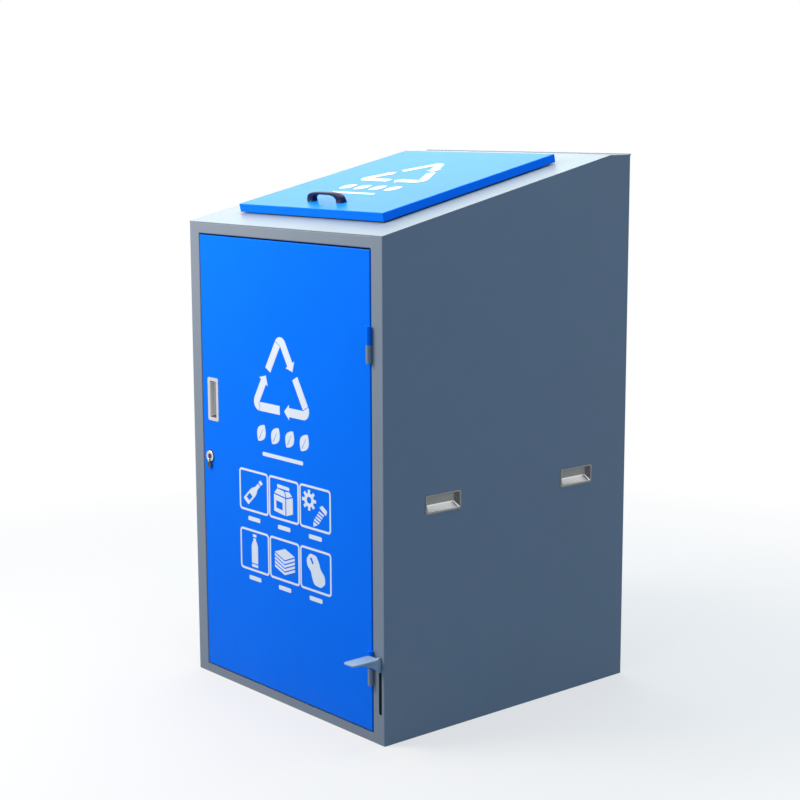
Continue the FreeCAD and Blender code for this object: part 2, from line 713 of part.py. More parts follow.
def lock_barrel():
    """Lock case facing +Z: round face, long barrel, bored for the plug and the cover's rivet."""
    face = bar(V(0, 0, 0), V(0, 0, LOCK_PROUD), LOCK_FACE_RADIUS)
    front_edges = [edge for edge in face.Edges if edge.BoundBox.ZMin > LOCK_PROUD / 2]
    face = face.makeChamfer(LOCK_PROUD / 4, front_edges)
    case = joined(face, bar(V(0, 0, -LOCK_REAR + SEAT_GAP), V(0, 0, 0), LOCK_BARREL_RADIUS))
    plug_bore = bar(V(0, 0, -LOCK_REAR - OVERCUT), V(0, 0, LOCK_PROUD + OVERCUT), LOCK_PLUG_RADIUS + RUNNING_GAP)
    rivet_hole = bar(V(0, -COVER_DROP, 0), V(0, -COVER_DROP, LOCK_PROUD + OVERCUT), RIVET_RADIUS + TIGHT_GAP)
    return case.cut(plug_bore).cut(rivet_hole)


def lock_nut():
    """Six-sided nut that clamps the lock behind the door sheet."""
    corners = [math.radians(60 * step) for step in range(6)]
    outline = [V(LOCK_NUT_RADIUS * math.cos(a), LOCK_NUT_RADIUS * math.sin(a), -DOOR_SHEET) for a in corners]
    nut = prism(outline, V(0, 0, -LOCK_NUT_THICKNESS))
    return nut.cut(bar(V(0, 0, 0), V(0, 0, -DOOR_DEPTH), LOCK_BARREL_RADIUS + TIGHT_GAP))


def lock_plug():
    """Turning plug with its keyway in front and the cam screw's hole behind."""
    front = LOCK_PROUD - RIVET_HEAD_HEIGHT / 2
    plug = bar(V(0, 0, -LOCK_REAR), V(0, 0, front), LOCK_PLUG_RADIUS)
    half_x = KEYWAY_WIDTH / 2
    half_y = KEYWAY_LENGTH / 2
    plug = plug.cut(box(-half_x, half_x, -half_y, half_y, front - KEYWAY_DEPTH, front + OVERCUT))
    depth = CAM_SCREW_LENGTH - CAM_THICKNESS
    return plug.cut(bar(V(0, 0, -LOCK_REAR - OVERCUT), V(0, 0, -LOCK_REAR + depth), CAM_SCREW_RADIUS + TIGHT_GAP))


def lock_cam():
    """Flat tongue behind the plug, hanging down while the door is unlocked."""
    rear = V(0, 0, -LOCK_REAR - CAM_THICKNESS)
    thick = V(0, 0, CAM_THICKNESS)
    half = CAM_WIDTH / 2
    tongue = box(-half, half, -CAM_LENGTH, 0, rear.z, -LOCK_REAR)
    cam = joined(tongue, bar(rear, rear + thick, half))
    return cam.cut(bar(rear - thick, rear + thick * 2, CAM_SCREW_RADIUS + TIGHT_GAP))


def cam_screw():
    """Screw that holds the cam on the plug."""
    seat = -LOCK_REAR - CAM_THICKNESS
    shank = bar(V(0, 0, seat), V(0, 0, seat + CAM_SCREW_LENGTH), CAM_SCREW_RADIUS)
    return joined(shank, bar(V(0, 0, seat - CAM_THICKNESS), V(0, 0, seat), CAM_SCREW_HEAD))


def dust_cover():
    """Small swinging cover that hangs open below the keyway."""
    low = LOCK_PROUD + SEAT_GAP
    thick = V(0, 0, COVER_THICKNESS)
    pivot = V(0, -COVER_DROP, low)
    centre = V(0, -2 * COVER_DROP, low)
    ear = bar(pivot, pivot + thick, COVER_EAR_RADIUS)
    link = box(-COVER_EAR_RADIUS, COVER_EAR_RADIUS, centre.y, pivot.y, low, low + COVER_THICKNESS)
    cover = joined(bar(centre, centre + thick, COVER_RADIUS), link, ear)
    return cover.cut(bar(pivot - thick, pivot + thick * 2, RIVET_RADIUS + RUNNING_GAP))


def cover_rivet():
    """Rivet in the lock's face that the dust cover swings on."""
    head = LOCK_PROUD + COVER_THICKNESS + 2 * SEAT_GAP
    shank = bar(V(0, -COVER_DROP, 0), V(0, -COVER_DROP, head), RIVET_RADIUS)
    cap = bar(V(0, -COVER_DROP, head), V(0, -COVER_DROP, head + RIVET_HEAD_HEIGHT), RIVET_HEAD_RADIUS)
    return joined(shank, cap)


def handle_screw_places():
    """(x, s) places of the lid handle's two screws."""
    reach = HANDLE_LENGTH / 2 - HANDLE_FOOT / 2
    return [(-reach, HANDLE_S), (reach, HANDLE_S)]


def handle_screw_holes(low, high):
    """Holes of the handle's screws between two heights above the slope."""
    radius = SCREW_RADIUS + TIGHT_GAP
    return [bar(V(x, s, low), V(x, s, high), radius) for x, s in handle_screw_places()]


def lid_skin():
    """Lid pan: top sheet with its edges folded down to just above the slope."""
    skin = box(-LID_X, LID_X, LID_FRONT, LID_REAR, LID_LIFT, LID_HEIGHT)
    middle = LID_HEIGHT / 2
    shown = [edge for edge in skin.Edges if edge.BoundBox.ZMax > middle]
    skin = skin.makeFillet(LID_EDGE_RADIUS, shown)
    wall = LID_SHEET
    skin = skin.cut(box(-LID_X + wall, LID_X - wall, LID_FRONT + wall, LID_REAR - wall, 0, LID_UNDER))
    for hole in handle_screw_holes(0, LID_HEIGHT + OVERCUT):
        skin = skin.cut(hole)
    return on_slope(skin)


def lid_rib():
    """Top-hat stiffener across the underside of the lid, inside the chute's edge."""
    half = CHUTE_X - HORN_INSET
    rib = hat_rib(LID_RIB_DEPTH, LID_SHEET, 2 * half)
    middle = (CHUTE_FRONT + CHUTE_REAR) / 2
    return on_slope(placed(rib, SECTION_YZ, V(-half, middle, LID_UNDER)))


def lid_handle():
    """Bow handle on two feet, drawn as an arch along X."""
    half = HANDLE_LENGTH / 2
    top = half - HANDLE_SPLAY
    outline = [(half, 0), (top, HANDLE_HEIGHT), (-top, HANDLE_HEIGHT), (-half, 0)]
    bow = placed(folded_sheet(outline, HANDLE_THICKNESS, HANDLE_WIDTH), FACING_FRONT, V(0, HANDLE_WIDTH / 2, 0))
    side = HANDLE_WIDTH / 2
    feet = [
        box(-half, -half + HANDLE_FOOT, -side, side, 0, HANDLE_FOOT_HEIGHT),
        box(half - HANDLE_FOOT, half, -side, side, 0, HANDLE_FOOT_HEIGHT),
    ]
    handle = joined(bow, *feet)
    handle = handle.common(box(-half, half, -side, side, 0, HANDLE_HEIGHT))
    crown = [edge for edge in handle.Edges if edge.BoundBox.ZMin > HANDLE_HEIGHT / 2]
    handle = handle.makeFillet(HANDLE_EDGE_RADIUS, crown)
    handle.translate(V(0, HANDLE_S, LID_HEIGHT))
    for hole in handle_screw_holes(LID_HEIGHT - OVERCUT, LID_HEIGHT + SCREW_BITE):
        handle = handle.cut(hole)
    return on_slope(handle)


def handle_screws():
    """Two screws up through the lid into the handle's feet."""
    screws = []
    for x, s in handle_screw_places():
        shank = bar(V(x, s, LID_UNDER), V(x, s, LID_HEIGHT + SCREW_BITE), SCREW_RADIUS)
        head = bar(V(x, s, LID_UNDER - SCREW_HEAD_HEIGHT), V(x, s, LID_UNDER), SCREW_HEAD_RADIUS)
        screws.append(on_slope(joined(shank, head)))
    return Part.makeCompound(screws)


def knuckle(x0, x1, gap):
    """Bored hinge knuckle about the lid's axis, drawn on the slope."""
    start = V(x0, LID_AXIS_S, LID_HINGE_RISE)
    end = V(x1, LID_AXIS_S, LID_HINGE_RISE)
    return bar(start, end, LID_KNUCKLE_RADIUS).cut(bar(start, end, LID_PIN_RADIUS + gap))


def pin_bore(x0, x1, gap):
    """Bore of the lid hinge's pin."""
    return bar(V(x0, LID_AXIS_S, LID_HINGE_RISE), V(x1, LID_AXIS_S, LID_HINGE_RISE), LID_PIN_RADIUS + gap)


def fixed_leaf(x):
    """Hinge leaf on the slope behind the lid, with its two outer knuckles."""
    half = LID_HINGE_WIDTH / 2
    leaf = box(x - half, x + half, LID_AXIS_S, LID_AXIS_S + LEAF_LENGTH, 0, LEAF_THICKNESS)
    for x0, x1 in ((x - half, x - half + LID_KNUCKLE_END), (x + half - LID_KNUCKLE_END, x + half)):
        web = box(x0, x1, LID_AXIS_S, LID_AXIS_S + LID_KNUCKLE_RADIUS, 0, LID_HINGE_RISE)
        leaf = joined(leaf, web, knuckle(x0, x1, TIGHT_GAP))
    leaf = leaf.cut(pin_bore(x - half, x + half, TIGHT_GAP))
    for hole in leaf_rivet_holes():
        leaf = leaf.cut(hole)
    return on_slope(leaf)


def moving_leaf(x):
    """Hinge leaf on the lid's rear edge, with the middle knuckle."""
    half = LID_HINGE_WIDTH / 2
    inner = half - LID_KNUCKLE_END - SEAT_GAP
    high = LID_HEIGHT - LID_EDGE_RADIUS
    low = LID_HINGE_RISE + LID_KNUCKLE_RADIUS + FIT_GAP
    plate = box(x - half, x + half, LID_REAR, LID_REAR + LEAF_THICKNESS, low, high)
    web = box(x - inner, x + inner, LID_REAR, LID_AXIS_S, LID_HINGE_RISE, low + LEAF_THICKNESS)
    leaf = joined(plate, web, knuckle(x - inner, x + inner, RUNNING_GAP))
    return on_slope(leaf.cut(pin_bore(x - inner, x + inner, RUNNING_GAP)))


def lid_pin(x):
    """Pin of one lid hinge."""
    half = LID_HINGE_WIDTH / 2
    return on_slope(pin_bore(x - half, x + half, 0))


def leaf_rivets():
    """Rivets that hold the fixed leaves to the top panel."""
    rivets = []
    for x, s in leaf_rivet_places():
        shank = bar(V(x, s, -SHEET - LEAF_RIVET_HEIGHT), V(x, s, LEAF_THICKNESS), LEAF_RIVET_RADIUS)
        head = bar(V(x, s, LEAF_THICKNESS), V(x, s, LEAF_THICKNESS + LEAF_RIVET_HEIGHT), LEAF_RIVET_HEAD)
        rivets.append(on_slope(joined(shank, head)))
    return Part.makeCompound(rivets)


def horn_point(angle):
    """Point of the lifting edge, as (y, z) from the lid's axis, that meets the rod at a lid angle."""
    drop = LIFT_END_DROP + ROD_RISE - LIFT_RADIUS * angle
    y = -LIFT_RADIUS * math.cos(angle) + drop * math.sin(angle)
    z = -LIFT_RADIUS * math.sin(angle) - drop * math.cos(angle)
    return y, z


def from_slope(s, h):
    """(y, z) from the lid's axis of a point given along and above the slope from that axis."""
    return s * math.cos(SLOPE) - h * math.sin(SLOPE), s * math.sin(SLOPE) + h * math.cos(SLOPE)


def lid_horn():
    """Lifting horn under the lid: its lower edge is an involute about the lid's axis."""
    steps = 8
    full = math.radians(LID_OPEN_ANGLE + HORN_TOE_ANGLE)
    toe = -math.radians(HORN_TOE_ANGLE)
    angles = [toe + (full - toe) * step / steps for step in range(steps + 1)]
    under = LID_UNDER - LID_HINGE_RISE
    chute_edge = LID_AXIS_S - CHUTE_REAR + CHUTE_SEAL_WALL
    inner = math.hypot(chute_edge, under) + HORN_CLEARANCE
    top_rear = from_slope(-math.sqrt(inner ** 2 - under ** 2), under)
    top_front = from_slope(-HORN_REACH, under)

    def at(point):
        return V(HORN_X - HORN_THICKNESS / 2, LID_AXIS_Y + point[0], LID_AXIS_Z + point[1])

    start = math.atan2(top_rear[1], top_rear[0]) % (2 * math.pi)
    heel = horn_point(full)
    end = math.atan2(heel[1], heel[0]) % (2 * math.pi)
    middle = (start + end) / 2
    arc_middle = (inner * math.cos(middle), inner * math.sin(middle))
    arc_end = (inner * math.cos(end), inner * math.sin(end))
    curve = Part.BSplineCurve()
    curve.interpolate([at(horn_point(angle)) for angle in angles])
    edges = [
        Part.Arc(at(top_rear), at(arc_middle), at(arc_end)).toShape(),
        Part.makeLine(at(arc_end), at(heel)),
        curve.toShape(),
        Part.makeLine(at(horn_point(toe)), at(top_front)),
        Part.makeLine(at(top_front), at(top_rear)),
    ]
    wire = Part.Wire(Part.__sortEdges__(edges))
    plate = Part.Face(wire).extrude(V(HORN_THICKNESS, 0, 0))
    front = LID_AXIS_S - HORN_REACH
    rear = LID_AXIS_S - math.sqrt(inner ** 2 - under ** 2)
    edge_x = HORN_X + HORN_THICKNESS / 2
    flange = box(edge_x - HORN_FLANGE, edge_x, front, rear, LID_UNDER - HORN_FLANGE_THICKNESS, LID_UNDER)
    return joined(plate, on_slope(flange))


def rod_path():
    """Line of the push rod: up the side wall, across over the bin, then up to the horn."""
    low = CLEVIS_Z + CLEVIS_CROTCH + CLEVIS_HEAD
    top = ROD_TOP - CAP_HEIGHT + CAP_SOCKET
    turn = ROD_TOP - CAP_HEIGHT - ROD_END
    points = [V(PEDAL_X, ROD_Y, low), V(PEDAL_X, ROD_Y, turn), V(HORN_X, ROD_Y, turn), V(HORN_X, ROD_Y, top)]
    return Part.Wire(rounded_path(points, [ROD_BEND, ROD_BEND]))


def push_rod():
    """Bent round rod between the lever and the lid's horn."""
    path = rod_path()
    start = path.Edges[0].Vertexes[0].Point
    section = Part.Wire([Part.makeCircle(ROD_RADIUS, start, V(0, 0, 1))])
    return path.makePipeShell([section], True, False)


def rod_cap():
    """Plastic cap on the rod's top, which the horn rests on."""
    top = V(HORN_X, ROD_Y, ROD_TOP)
    low = top - V(0, 0, CAP_HEIGHT)
    socket = bar(low - V(0, 0, OVERCUT), low + V(0, 0, CAP_SOCKET), ROD_RADIUS + TIGHT_GAP)
    return bar(low, top, CAP_RADIUS).cut(socket)


def rod_clevis():
    """Forked foot of the rod that straddles the lever's tail."""
    half_x = CLEVIS_WIDTH / 2
    half_y = CLEVIS_DEPTH / 2
    crotch = CLEVIS_Z + CLEVIS_CROTCH
    fork = box(
        PEDAL_X - half_x, PEDAL_X + half_x, ROD_Y - half_y, ROD_Y + half_y,
        CLEVIS_Z - CLEVIS_FOOT, crotch + CLEVIS_HEAD,
    )
    gap = LEVER_THICKNESS / 2 + SEAT_GAP
    reach = half_y + OVERCUT
    mouth = box(
        PEDAL_X - gap, PEDAL_X + gap, ROD_Y - reach, ROD_Y + reach,
        CLEVIS_Z - CLEVIS_FOOT - OVERCUT, crotch,
    )
    start = V(PEDAL_X - half_x, ROD_Y, CLEVIS_Z)
    return fork.cut(mouth).cut(bar(start, start + V(CLEVIS_WIDTH, 0, 0), CLEVIS_PIN_RADIUS + TIGHT_GAP))


def clevis_pin():
    """Pin across the clevis, through the lever's long hole."""
    half = CLEVIS_WIDTH / 2 + CLEVIS_PIN_HEAD
    return bar(V(PEDAL_X - half, ROD_Y, CLEVIS_Z), V(PEDAL_X + half, ROD_Y, CLEVIS_Z), CLEVIS_PIN_RADIUS)


def lever_line(y, offset):
    """Point of the resting lever's centre line at y, raised by offset."""
    return V(0, y, PIVOT_Z - (y - PIVOT_Y) * math.tan(TILT) + offset)


def lever_hole():
    """Long hole near the lever's tail that lets the clevis pin slide as the lever tips."""
    radius = CLEVIS_PIN_RADIUS + SEAT_GAP
    near = ROD_ARM - SEAT_GAP
    far = ROD_ARM / math.cos(TILT) + SEAT_GAP
    middle = box(-OVERCUT, OVERCUT, near, far, -radius, radius)
    ends = [bar(V(-OVERCUT, y, 0), V(OVERCUT, y, 0), radius) for y in (near, far)]
    tilted = FreeCAD.Rotation(V(1, 0, 0), -math.degrees(TILT))
    return placed(joined(middle, *ends), tilted, V(PEDAL_X, PIVOT_Y, PIVOT_Z))


def pedal_lever():
    """Flat lever: tail under the rod, pivot in the middle, web through the slot with a curved gusset."""
    half = LEVER_HEIGHT / 2
    tail_half = LEVER_TAIL_HEIGHT / 2
    tail_y = ROD_Y + LEVER_TAIL
    nose = V(0, FRONT_Y - GUSSET_LENGTH, PLATE_UNDER - GUSSET_TOE)
    root = lever_line(FRONT_Y, -half)
    chord = nose - root
    sag = V(0, chord.z, -chord.y).normalize() * GUSSET_SAG
    arc = Part.Arc(root, (root + nose) * 0.5 + sag, nose).toShape()
    corners = [
        nose,
        V(0, FRONT_Y - GUSSET_LENGTH, PLATE_UNDER),
        lever_line(FRONT_Y, half),
        lever_line(PIVOT_Y, half),
        lever_line(tail_y, tail_half),
        lever_line(tail_y, -tail_half),
        lever_line(PIVOT_Y, -half),
        root,
    ]
    edges = [arc] + [Part.makeLine(a, b) for a, b in zip(corners, corners[1:])]
    lever = Part.Face(Part.Wire(Part.__sortEdges__(edges))).extrude(V(LEVER_THICKNESS, 0, 0))
    lever.translate(V(PEDAL_X - LEVER_THICKNESS / 2, 0, 0))
    pivot = V(PEDAL_X - LEVER_THICKNESS, PIVOT_Y, PIVOT_Z)
    bore = bar(pivot, pivot + V(2 * LEVER_THICKNESS, 0, 0), PIVOT_RADIUS + BUSH_WALL + TIGHT_GAP)
    return lever.cut(bore).cut(lever_hole())


def foot_plate():
    """Foot plate welded on the lever's gusset."""
    plate = rounded_block(PLATE_WIDTH / 2, PLATE_LENGTH / 2, PLATE_UNDER, PEDAL_HEIGHT, PLATE_CORNER)
    plate.translate(V(PEDAL_X, FRONT_Y - PLATE_STANDOFF - PLATE_LENGTH / 2, 0))
    return plate


def pivot_bar(reach_left, reach_right, radius):
    """Round bar along the lever's pivot, reaching to either side of the lever's middle."""
    return bar(V(PEDAL_X - reach_left, PIVOT_Y, PIVOT_Z), V(PEDAL_X + reach_right, PIVOT_Y, PIVOT_Z), radius)


def pedal_bush():
    """Bush in the lever that turns on the pivot pin."""
    half = BRACKET_GAP / 2 - SEAT_GAP
    return pivot_bar(half, half, PIVOT_RADIUS + BUSH_WALL).cut(pivot_bar(half, half, PIVOT_RADIUS + RUNNING_GAP))


def pedal_bracket():
    """Upright fork on the floor that carries the lever's pivot."""
    outer = BRACKET_GAP / 2 + BRACKET_SHEET
    half_y = BRACKET_WIDTH / 2
    fork = box(PEDAL_X - outer, PEDAL_X + outer, PIVOT_Y - half_y, PIVOT_Y + half_y, FLOOR_TOP, PIVOT_Z + BRACKET_HEAD)
    inner = BRACKET_GAP / 2
    reach = half_y + OVERCUT
    mouth = box(
        PEDAL_X - inner, PEDAL_X + inner, PIVOT_Y - reach, PIVOT_Y + reach,
        FLOOR_TOP + BRACKET_SHEET, PIVOT_Z + BRACKET_HEAD + OVERCUT,
    )
    return fork.cut(mouth).cut(pivot_bar(outer, outer, PIVOT_RADIUS + TIGHT_GAP))


def pivot_pin():
    """Headed pin through the bracket and the lever's bush."""
    outer = BRACKET_GAP / 2 + BRACKET_SHEET
    shank = pivot_bar(outer, outer + CLIP_THICKNESS + FIT_GAP, PIVOT_RADIUS)
    return joined(shank, pivot_bar(outer + PIVOT_HEAD_HEIGHT, -outer, PIVOT_HEAD_RADIUS))


def pivot_clip():
    """Spring clip that keeps the pivot pin in its bracket."""
    near = BRACKET_GAP / 2 + BRACKET_SHEET
    far = near + CLIP_THICKNESS
    return pivot_bar(-near, far, PIVOT_RADIUS + CLIP_WIDTH).cut(pivot_bar(-near, far, PIVOT_RADIUS + TIGHT_GAP))


def rod_guide(height):
    """Angle bracket on the right wall with a hole for the rod's bush."""
    half = GUIDE_WIDTH / 2
    inner = PEDAL_X - half
    leg = box(WALL_X - GUIDE_SHEET, WALL_X, ROD_Y - half, ROD_Y + half, height - GUIDE_LEG, height)
    shelf = box(inner, WALL_X, ROD_Y - half, ROD_Y + half, height - GUIDE_SHEET, height)
    hole = bar(V(PEDAL_X, ROD_Y, height - GUIDE_LEG), V(PEDAL_X, ROD_Y, height + OVERCUT), guide_bush_radius())
    shelf = shelf.cut(hole)
    return joined(leg.cut(hole), shelf)


def guide_bush_radius():
    """Outside radius of a rod guide's bush."""
    return ROD_RADIUS + RUNNING_GAP + GUIDE_BUSH_WALL


def guide_bush(height):
    """Plastic bush that the rod slides in, with a collar on its bracket."""
    low = V(PEDAL_X, ROD_Y, height - GUIDE_BUSH_LENGTH + GUIDE_SHEET)
    seat = V(PEDAL_X, ROD_Y, height)
    top = seat + V(0, 0, GUIDE_SHEET)
    sleeve = bar(low, top, guide_bush_radius() - TIGHT_GAP)
    collar = bar(seat, top, guide_bush_radius() + GUIDE_BUSH_WALL / 2)
    return joined(sleeve, collar).cut(bar(low, top, ROD_RADIUS + RUNNING_GAP))


def rounded_outline(half_x, front, rear, z, radius):
    """Closed rounded rectangle at one height."""
    points = [
        V(0, front, z), V(half_x, front, z), V(half_x, rear, z),
        V(-half_x, rear, z), V(-half_x, front, z), V(0, front, z),
    ]
    return Part.Wire(rounded_path(points, [radius] * 4))


def bin_shape(wall):
    """Tapered body of the bin, drawn in by wall on every side and at the floor."""
    low = BIN_BOTTOM + wall
    corner = BIN_CORNER - wall
    top_x = BIN_X - BIN_RIM - wall
    top_front = BIN_FRONT + BIN_RIM + wall
    top_rear = BIN_REAR - BIN_RIM - wall
    floor_front = BIN_FRONT + BIN_RIM + BIN_TAPER + wall
    bottom = rounded_outline(BIN_FLOOR_X - wall, floor_front, BIN_HEEL - wall, low, corner)
    top = rounded_outline(top_x, top_front, top_rear, BIN_TOP, corner)
    return Part.makeLoft([bottom, top], True, True)


def bin_body():
    """Moulded wheeled bin: tapered shell, rolled rim, rear grip, front foot and axle lugs."""
    rim_low = BIN_TOP - BIN_RIM_HEIGHT
    rim = Part.Face(rounded_outline(BIN_X, BIN_FRONT, BIN_REAR, rim_low, BIN_CORNER)).extrude(V(0, 0, BIN_RIM_HEIGHT))
    foot_front = BIN_FRONT + BIN_RIM + BIN_TAPER + BIN_FOOT_INSET
    foot_x = BIN_FLOOR_X - BIN_FOOT_INSET
    foot = box(-foot_x, foot_x, foot_front, foot_front + BIN_FOOT_WIDTH, FLOOR_TOP, BIN_BOTTOM + BIN_WALL)
    body = joined(bin_shape(0), rim, foot)
    grip_y = BIN_REAR + BIN_GRIP_REACH - BIN_GRIP_RADIUS
    grip_z = BIN_TOP - BIN_RIM_HEIGHT / 2
    body = joined(body, bar(V(-BIN_GRIP_HALF, grip_y, grip_z), V(BIN_GRIP_HALF, grip_y, grip_z), BIN_GRIP_RADIUS))
    lug_centre = BIN_FLOOR_X - AXLE_LUG_INSET
    lug_half = AXLE_RADIUS + AXLE_LUG_WALL
    for side in (-1, 1):
        ends = sorted([side * BIN_GRIP_HALF, side * (BIN_GRIP_HALF - BIN_GRIP_ARM)])
        arm = box(
            ends[0], ends[1], BIN_REAR - BIN_RIM, grip_y + BIN_GRIP_RADIUS,
            grip_z - BIN_GRIP_RADIUS, grip_z + BIN_GRIP_RADIUS,
        )
        x0 = side * lug_centre - AXLE_LUG_WIDTH / 2
        lug = box(
            x0, x0 + AXLE_LUG_WIDTH, BIN_HEEL - BIN_WALL, AXLE_Y + lug_half,
            AXLE_Z - lug_half, AXLE_Z + lug_half,
        )
        body = joined(body, arm, lug)
    return body.cut(bin_shape(BIN_WALL)).cut(axle_bar(AXLE_RADIUS + TIGHT_GAP, -WHEEL_OUTER_X, WHEEL_OUTER_X))


def axle_bar(radius, x0, x1):
    """Round bar along the bin's axle."""
    return bar(V(x0, AXLE_Y, AXLE_Z), V(x1, AXLE_Y, AXLE_Z), radius)


def bin_axle():
    """Steel axle through the bin's lugs and both wheels."""
    end = WHEEL_OUTER_X + SEAT_GAP + AXLE_CAP_WIDTH / 2
    return axle_bar(AXLE_RADIUS, -end, end)


def axle_caps():
    """Push-on caps that keep the wheels on the axle."""
    near = WHEEL_OUTER_X + SEAT_GAP
    far = near + AXLE_CAP_WIDTH
    cap = axle_bar(AXLE_CAP_RADIUS, near, far)
    cap = cap.cut(axle_bar(AXLE_RADIUS + TIGHT_GAP, near, near + AXLE_CAP_WIDTH / 2))
    return Part.makeCompound([cap, mirrored(cap)])


def bin_wheel():
    """Right wheel of the bin: rubber tread with a dished outer face."""
    tread = axle_bar(WHEEL_RADIUS, WHEEL_INNER_X, WHEEL_OUTER_X)
    rims = [edge for edge in tread.Edges if edge.BoundBox.XLength < OVERCUT]
    tread = tread.makeFillet(WHEEL_EDGE_RADIUS, rims)
    dish = axle_bar(WHEEL_RIM_RADIUS, WHEEL_OUTER_X - WHEEL_DISH, WHEEL_OUTER_X + OVERCUT)
    dish = dish.cut(axle_bar(WHEEL_HUB_RADIUS, WHEEL_INNER_X, WHEEL_OUTER_X + OVERCUT))
    bore = axle_bar(AXLE_RADIUS + RUNNING_GAP, WHEEL_INNER_X - OVERCUT, WHEEL_OUTER_X + OVERCUT)
    return tread.cut(dish).cut(bore)


def housing_parts():
    """Pieces that stand still on the ground."""
    right_pulls = {where: placed(flush_pull(), FACING_RIGHT, place) for where, place in side_pull_places().items()}
    parts = {
        "left_side_panel": mirrored(side_panel_blank()),
        "right_side_panel": right_side_panel(),
        "back_panel": back_panel(),
        "top_panel": top_panel(),
        "chute_seal": chute_seal(),
        "front_top_rail": front_top_rail(),
        "floor_panel": floor_panel(),
        "door_seal": door_seal(),
        "lid_hinge_rivets": leaf_rivets(),
        "pedal_bracket": pedal_bracket(),
        "pedal_pivot_pin": pivot_pin(),
        "pedal_pivot_clip": pivot_clip(),
        "bin_body": bin_body(),
        "bin_axle": bin_axle(),
        "bin_axle_caps": axle_caps(),
        "door_hinge_pins": Part.makeCompound([hinge_pin(height) for height in HINGE_HEIGHTS.values()]),
        "lid_hinge_pins": Part.makeCompound([lid_pin(x) for x in LID_HINGES.values()]),
        "rod_guides": Part.makeCompound([rod_guide(height) for height in GUIDE_HEIGHTS.values()]),
        "rod_guide_bushes": Part.makeCompound([guide_bush(height) for height in GUIDE_HEIGHTS.values()]),
    }
    parts.update(base_rails())
    for where, pull in right_pulls.items():
        parts["right_" + where + "_pull"] = pull
        parts["left_" + where + "_pull"] = mirrored(pull)
    for where, height in HINGE_HEIGHTS.items():
        parts[where + "_hinge_frame_half"] = hinge_half(height, False)
    for where, x in LID_HINGES.items():
        parts[where + "_lid_hinge_fixed_leaf"] = fixed_leaf(x)
    return parts


def door_parts():
    """Pieces that swing with the door, with the lock's plug and dust cover."""
    parts = {
        "door_skin": door_skin(),
        "door_rib_upper": door_rib(upper_rib_height()),
        "door_rib_lower": door_rib(DOOR_BOTTOM + DOOR_RIB_INSET),
        "door_pull": placed(flush_pull(), FACING_FRONT, door_pull_place()),
    }
    for where, height in HINGE_HEIGHTS.items():
        parts[where + "_hinge_door_half"] = hinge_half(height, True)
    lock = {
        "lock_barrel": lock_barrel(),
        "lock_nut": lock_nut(),
        "lock_plug": lock_plug(),
        "lock_cam": lock_cam(),
        "lock_cam_screw": cam_screw(),
        "lock_dust_cover": dust_cover(),
        "lock_cover_rivet": cover_rivet(),
    }
    for name, shape in lock.items():
        parts[name] = placed(shape, FACING_FRONT, lock_place())
    return parts


def lid_parts():
    """Pieces that lift with the lid."""
    parts = {
        "lid_skin": lid_skin(),
        "lid_rib": lid_rib(),
        "lid_handle": lid_handle(),
        "lid_handle_screws": handle_screws(),
        "lid_horn": lid_horn(),
    }
    for where, x in LID_HINGES.items():
        parts[where + "_lid_hinge_moving_leaf"] = moving_leaf(x)
    return parts


def linkage_parts():
    """Pedal, push rod and the bin's wheels."""
    return {
        "pedal_lever": pedal_lever(),
        "pedal_foot_plate": foot_plate(),
        "pedal_bush": pedal_bush(),
        "push_rod": push_rod(),
        "push_rod_cap": rod_cap(),
        "push_rod_clevis": rod_clevis(),
        "push_rod_clevis_pin": clevis_pin(),
        "bin_wheel_right": bin_wheel(),
        "bin_wheel_left": mirrored(bin_wheel()),
    }


def main():
    """Build every piece and write one STEP file for each."""
    os.makedirs("parts", exist_ok=True)
    for group in (housing_parts(), door_parts(), lid_parts(), linkage_parts()):
        for name, shape in group.items():
            shape.exportStep(os.path.join("parts", name + ".step"))
            print(name, "solids", len(shape.Solids), "valid", shape.isValid(), "volume", round(shape.Volume))


if __name__ == "__main__":
    main()
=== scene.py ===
"""Looks of an outdoor recycling bin.

It is a painted sheet-steel housing with a sloped top, a blue door and a blue lid with white signs, a pedal
that lifts the lid, and a wheeled bin inside. Lengths are metres, except in the drawings of the signs and in
fields named for millimetres. +Z is up, and the front faces -Y.
"""

import json
import logging
import math
from collections.abc import Iterable, Sequence
from dataclasses import dataclass
from enum import Enum
from typing import Any

import bmesh
import bpy
from mathutils import Matrix, Vector

